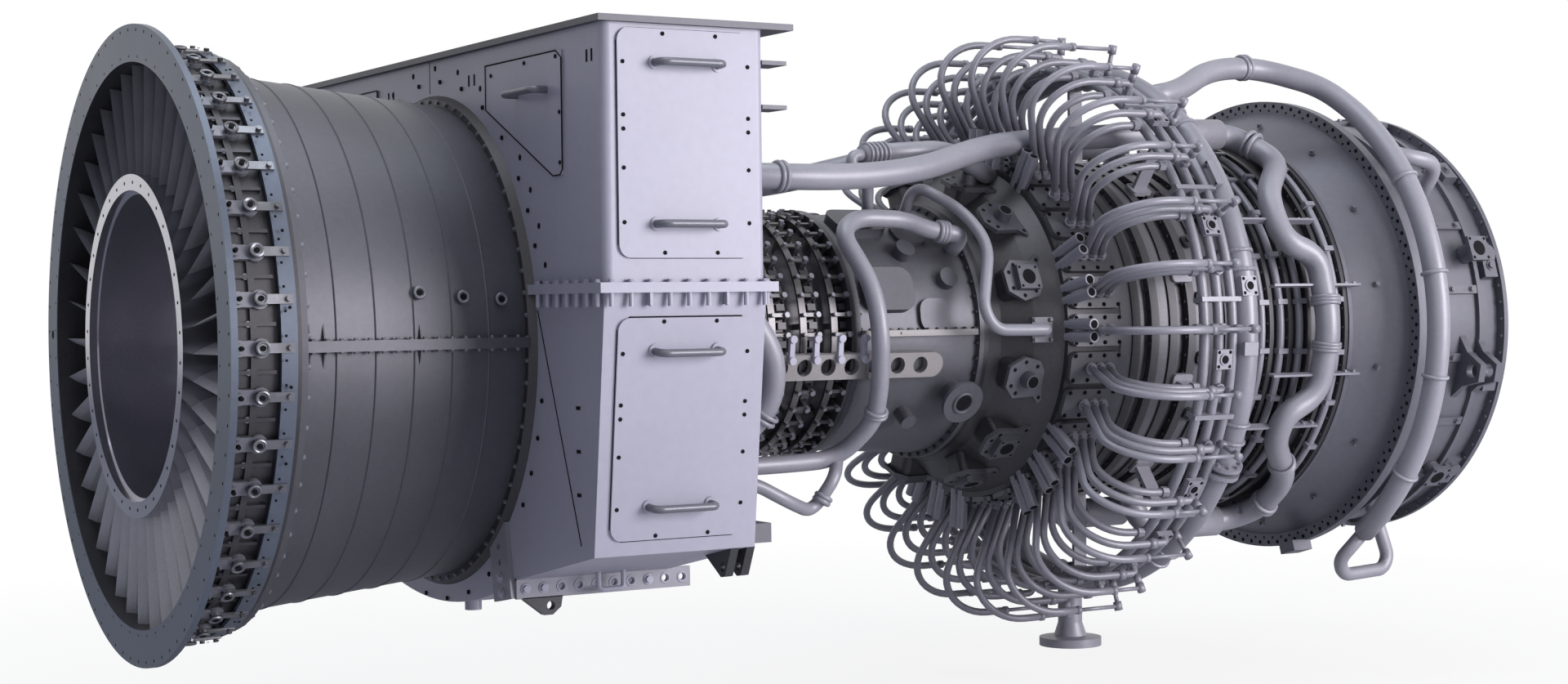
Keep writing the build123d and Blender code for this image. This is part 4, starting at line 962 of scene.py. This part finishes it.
# Bleed pipes on the near side: the hook, the dome pipe, the low loop, and the stub with its thin pipe
HOOK_LINE_R = 495
HOOK_TOP = ((2704, 41), (2580, 43.6), (2500, 49.6), (2320, 50.5), (2226, 42))
HOOK_FOOT = ((2310, -22), (2322, -36), (2262, -57), (2050, -59), (1455, -60))
hook = [(2700, 418, 41)] + [(x, HOOK_LINE_R, deg) for x, deg in HOOK_TOP] + [(2277, 500, 18), (2284, 512, 0)]
hook += [(x, HOOK_LINE_R, deg) for x, deg in HOOK_FOOT]
DOME_PIPE = [(2590, 414, 64), (2598, 560, 64), (2700, 562, 46), (2738, 562, 31), (2660, 560, 8)]
DOME_PIPE += [(2700, 568, 0.6)] + [(x, r, DOME_PIPE_DEG) for x, r in ((2850, 600), (2890, 600), (2894, 506))]
LOW_LOOP = [(1455, 560, -57), (1900, 575, -55), (2020, 640, -57), (2150, 650, -64), (2215, 575, -55)]
LOW_LOOP += [(2262, HOOK_LINE_R, -57)]
STUB = [(2340, 674, 61), (2743, 674, 67), (2960, 560, 71)]
STUB_PIPE = [(2360, 674, 61.3), (2292, 672, 60.3), (2290, 634, 57.6), (2360, 600, 57), (2420, 416, 57)]
# Route, easing of its corners, radius and number of sides
bleed_runs = [(hook, 90, 30, 20), (DOME_PIPE, 70, 20, 16), (LOW_LOOP, 55, 22, 16)]
bleed_runs += [(STUB, 120, 34, 20), (STUB_PIPE, 40, 20, 16)]
bleeds = Pile()
for route, ease, r, n in bleed_runs:
    bleeds.pipe(run(route, ease), r, n)

# Fat bleed pipes beside the stator gear, with two beads on each
SIDE_R = 38
SIDE_LINE_R = 545
SIDE_BEADS = ((1859, -26.5), (1850, -28.3))
BEAD_SLANT = 0.45
SIDE_BENDS = ((1455, 10), (1770, 9), (1868, -8), (1872, -24), (1780, -38), (1455, -40))
sides = Pile()
for far in (False, True):
    sides.pipe(run([(x, SIDE_LINE_R, deg) for x, deg in SIDE_BENDS], 120, far), SIDE_R, 22)
    for x, deg in SIDE_BEADS:
        a = 180 - deg if far else deg
        slant = X * (-BEAD_SLANT if far else BEAD_SLANT)
        sides.torus(at(x, SIDE_LINE_R, a), out(a + 90) + slant, SIDE_R + 3, 8)
sides.make("side_bleed_pipes", "duct_metal", True)
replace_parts(bleeds.make("bleed_runs", "duct_metal", True), "bleed_pipes")

# Clamps and bellows: start, stop, radius of the row, count and thickness of the beads
DUCT_BEADS = (
    ((1900, 704, 45.4), (1935, 704, 45.4), 44, 2, 9),
    ((3610, 756, 66.1), (3680, 757, 66.2), 58, 4, 6),
    ((3630, 758, -69.9), (3700, 759, -69.7), 58, 4, 6),
    ((3984, 763, 61.5), (4001, 763, 58), 44, 2, 9),
    ((3988, 768, 8), (3987, 768, 5.5), 46, 3, 7),
    ((3985, 771, -4), (3985, 770, -6.5), 46, 3, 7),
    ((3932, 763, -39.2), (3950, 763, -40.8), 44, 2, 7),
    ((4018, 763, -56.5), (4020, 763, -59), 44, 2, 9),
)
NEAR_BEADS = (
    ((4000, 996, 71.6), (4040, 998, 71.8), 42, 2, 7),
    ((2318, 495, -30), (2321, 495, -33), 32, 2, 8),
    ((2610, 495, 43), (2650, 495, 42.2), 31, 3, 9),
    ((2345, 674, 61.1), (2440, 674, 62.5), 35, 5, 6),
    ((2172, 632, -61), (2186, 612, -59.5), 24, 2, 9),
)
ARCH_CLAMPS_DEG = (33, 11, -11, -34)
wraps = Pile()
for far in (False, True):
    for start, stop, r, count, tube in DUCT_BEADS:
        wraps.beads(side_at(far, *start), side_at(far, *stop), r, count, tube)
for start, stop, r, count, tube in NEAR_BEADS:
    wraps.beads(at(*start), at(*stop), r, count, tube)
for a in ARCH_CLAMPS_DEG:
    wraps.torus(at(ARCH_X, ARCH_LINE_R - 3, a), out(a + 90), 42, 7)
wraps.make("pipe_clamps", "duct_metal", True)

# Straps that hold the S bends: an arm to the front and a bolted one to the rear
# Station, radius and clock angle
STRAPS = ((3855, 743, 30), (3988, 748, 11), (3985, 748, -13), (3850, 743, -28))
arms = Pile()
for x, r, deg in STRAPS:
    for a in both(deg):
        up = out(a + 90)
        arms.box(at(x - 130, r, a), X, up, (190, 30, 8))
        arms.box(at(x + 110, r, a), X, up, (150, 30, 8))
        for step in (125, 165):
            arms.bolt(at(x + step, r, a) + up * 4, up, 8, 8)
arms.make("duct_straps", "pipe_metal")


# Studio
def studio_world():
    """A bright horizon over dark ground lights the engine, with white for the camera and reflections."""
    world = bpy.data.worlds.new("studio")
    bpy.context.scene.world = world
    world.use_nodes = True
    sky = world.node_tree
    sky.nodes.clear()
    coord = sky.nodes.new("ShaderNodeTexCoord")
    split = sky.nodes.new("ShaderNodeSeparateXYZ")
    sky.links.new(coord.outputs["Generated"], split.inputs["Vector"])
    height = sky.nodes.new("ShaderNodeMapRange")
    height.inputs["From Min"].default_value = -1.0
    sky.links.new(split.outputs["Z"], height.inputs["Value"])
    ramp = sky.nodes.new("ShaderNodeValToRGB")
    sky.links.new(height.outputs["Result"], ramp.inputs["Fac"])
    stops = (
        (0.0, (0.10, 0.085, 0.085)),
        (0.44, (0.16, 0.14, 0.14)),
        (0.5, (0.75, 0.72, 0.74)),
        (0.56, (0.60, 0.64, 0.74)),
        (1.0, (0.42, 0.46, 0.58)),
    )
    while len(ramp.color_ramp.elements) < len(stops):
        ramp.color_ramp.elements.new(0.5)
    for element, (place, colour) in zip(ramp.color_ramp.elements, stops):
        element.position = place
        element.color = (*colour, 1)
    ambient = sky.nodes.new("ShaderNodeBackground")
    ambient.inputs["Strength"].default_value = 0.50
    sky.links.new(ramp.outputs["Color"], ambient.inputs["Color"])
    white = sky.nodes.new("ShaderNodeBackground")
    white.inputs["Color"].default_value = (1, 1, 1, 1)
    rays = sky.nodes.new("ShaderNodeLightPath")
    seen = sky.nodes.new("ShaderNodeMath")
    seen.operation = "MAXIMUM"
    sky.links.new(rays.outputs["Is Camera Ray"], seen.inputs[0])
    sky.links.new(rays.outputs["Is Transmission Ray"], seen.inputs[1])
    shown = sky.nodes.new("ShaderNodeMath")
    shown.operation = "MAXIMUM"
    sky.links.new(seen.outputs["Value"], shown.inputs[0])
    sky.links.new(rays.outputs["Is Glossy Ray"], shown.inputs[1])
    choose = sky.nodes.new("ShaderNodeMixShader")
    sky.links.new(shown.outputs["Value"], choose.inputs["Fac"])
    sky.links.new(ambient.outputs["Background"], choose.inputs[1])
    sky.links.new(white.outputs["Background"], choose.inputs[2])
    result = sky.nodes.new("ShaderNodeOutputWorld")
    sky.links.new(choose.outputs["Shader"], result.inputs["Surface"])


FLOOR_Z = -1.30
FLOOR_HALF = 60


def floor_material():
    """Matt pale ground that glows towards white for the camera, a little less under the engine."""
    mat = bpy.data.materials.new("floor")
    mat.use_nodes = True
    tree = mat.node_tree
    tree.nodes.clear()
    matt = tree.nodes.new("ShaderNodeBsdfDiffuse")
    matt.inputs["Color"].default_value = (0.80, 0.80, 0.82, 1)
    glow = tree.nodes.new("ShaderNodeEmission")
    glow.inputs["Strength"].default_value = 1.0
    ground = tree.nodes.new("ShaderNodeTexCoord")
    reach = tree.nodes.new("ShaderNodeVectorMath")
    reach.operation = "DISTANCE"
    reach.inputs[1].default_value = (2.4, 0, FLOOR_Z)
    tree.links.new(ground.outputs["Object"], reach.inputs[0])
    fade = tree.nodes.new("ShaderNodeMapRange")
    fade.inputs["From Min"].default_value = 2.0
    fade.inputs["From Max"].default_value = 6.0
    fade.inputs["To Min"].default_value = 0.86
    fade.inputs["To Max"].default_value = 1.0
    tree.links.new(reach.outputs["Value"], fade.inputs["Value"])
    path = tree.nodes.new("ShaderNodeLightPath")
    share = tree.nodes.new("ShaderNodeMath")
    share.operation = "MULTIPLY"
    tree.links.new(path.outputs["Is Camera Ray"], share.inputs[0])
    tree.links.new(fade.outputs["Result"], share.inputs[1])
    blend = tree.nodes.new("ShaderNodeMixShader")
    tree.links.new(share.outputs["Value"], blend.inputs["Fac"])
    tree.links.new(matt.outputs["BSDF"], blend.inputs[1])
    tree.links.new(glow.outputs["Emission"], blend.inputs[2])
    end = tree.nodes.new("ShaderNodeOutputMaterial")
    tree.links.new(blend.outputs["Shader"], end.inputs["Surface"])
    return mat


def lamp(name, place, target, size, power, colour):
    """Area lamp at a place in metres, aimed at a target."""
    data = bpy.data.lights.new(name, "AREA")
    data.energy = power
    data.size = size
    data.color = colour
    obj = bpy.data.objects.new(name, data)
    obj.location = place
    obj.rotation_euler = (Vector(target) - Vector(place)).to_track_quat("-Z", "Y").to_euler()
    bpy.context.collection.objects.link(obj)


studio_world()
floor_mesh = bpy.data.meshes.new("floor")
floor_corners = [(FLOOR_HALF * i, FLOOR_HALF * j, FLOOR_Z) for i, j in ((-1, -1), (1, -1), (1, 1), (-1, 1))]
floor_mesh.from_pydata(floor_corners, [], [(0, 1, 2, 3)])
floor = bpy.data.objects.new("floor", floor_mesh)
bpy.context.collection.objects.link(floor)
floor_mesh.materials.append(floor_material())
lamp("key", (7.5, -9.0, 1.7), (2.2, 0, 0), 5.0, 1080, (1.0, 0.97, 1.0))
lamp("top", (1.5, -1.0, 7.0), (2.5, 0, 0), 5.0, 260, (0.85, 0.92, 1.0))

# Camera fitted to the photo, in metres
CAMERA_PLACE = Vector((-1.9250, -6.8432, 0.0956))
CAMERA_RIGHT = Vector((0.85482, -0.51878, -0.01232))
CAMERA_UP = Vector((0.01858, 0.00688, 0.9998))
CAMERA_BACK = Vector((-0.51859, -0.85488, 0.01552))
camera_data = bpy.data.cameras.new("camera")
camera_data.sensor_width = 36
camera_data.lens = 54.09
camera = bpy.data.objects.new("camera", camera_data)
bpy.context.collection.objects.link(camera)
camera_rows = zip(zip(CAMERA_RIGHT, CAMERA_UP, CAMERA_BACK), CAMERA_PLACE)
camera.matrix_world = Matrix([(*row, place) for row, place in camera_rows] + [(0, 0, 0, 1)])
bpy.context.scene.camera = camera
bpy.context.scene.view_settings.view_transform = "Standard"
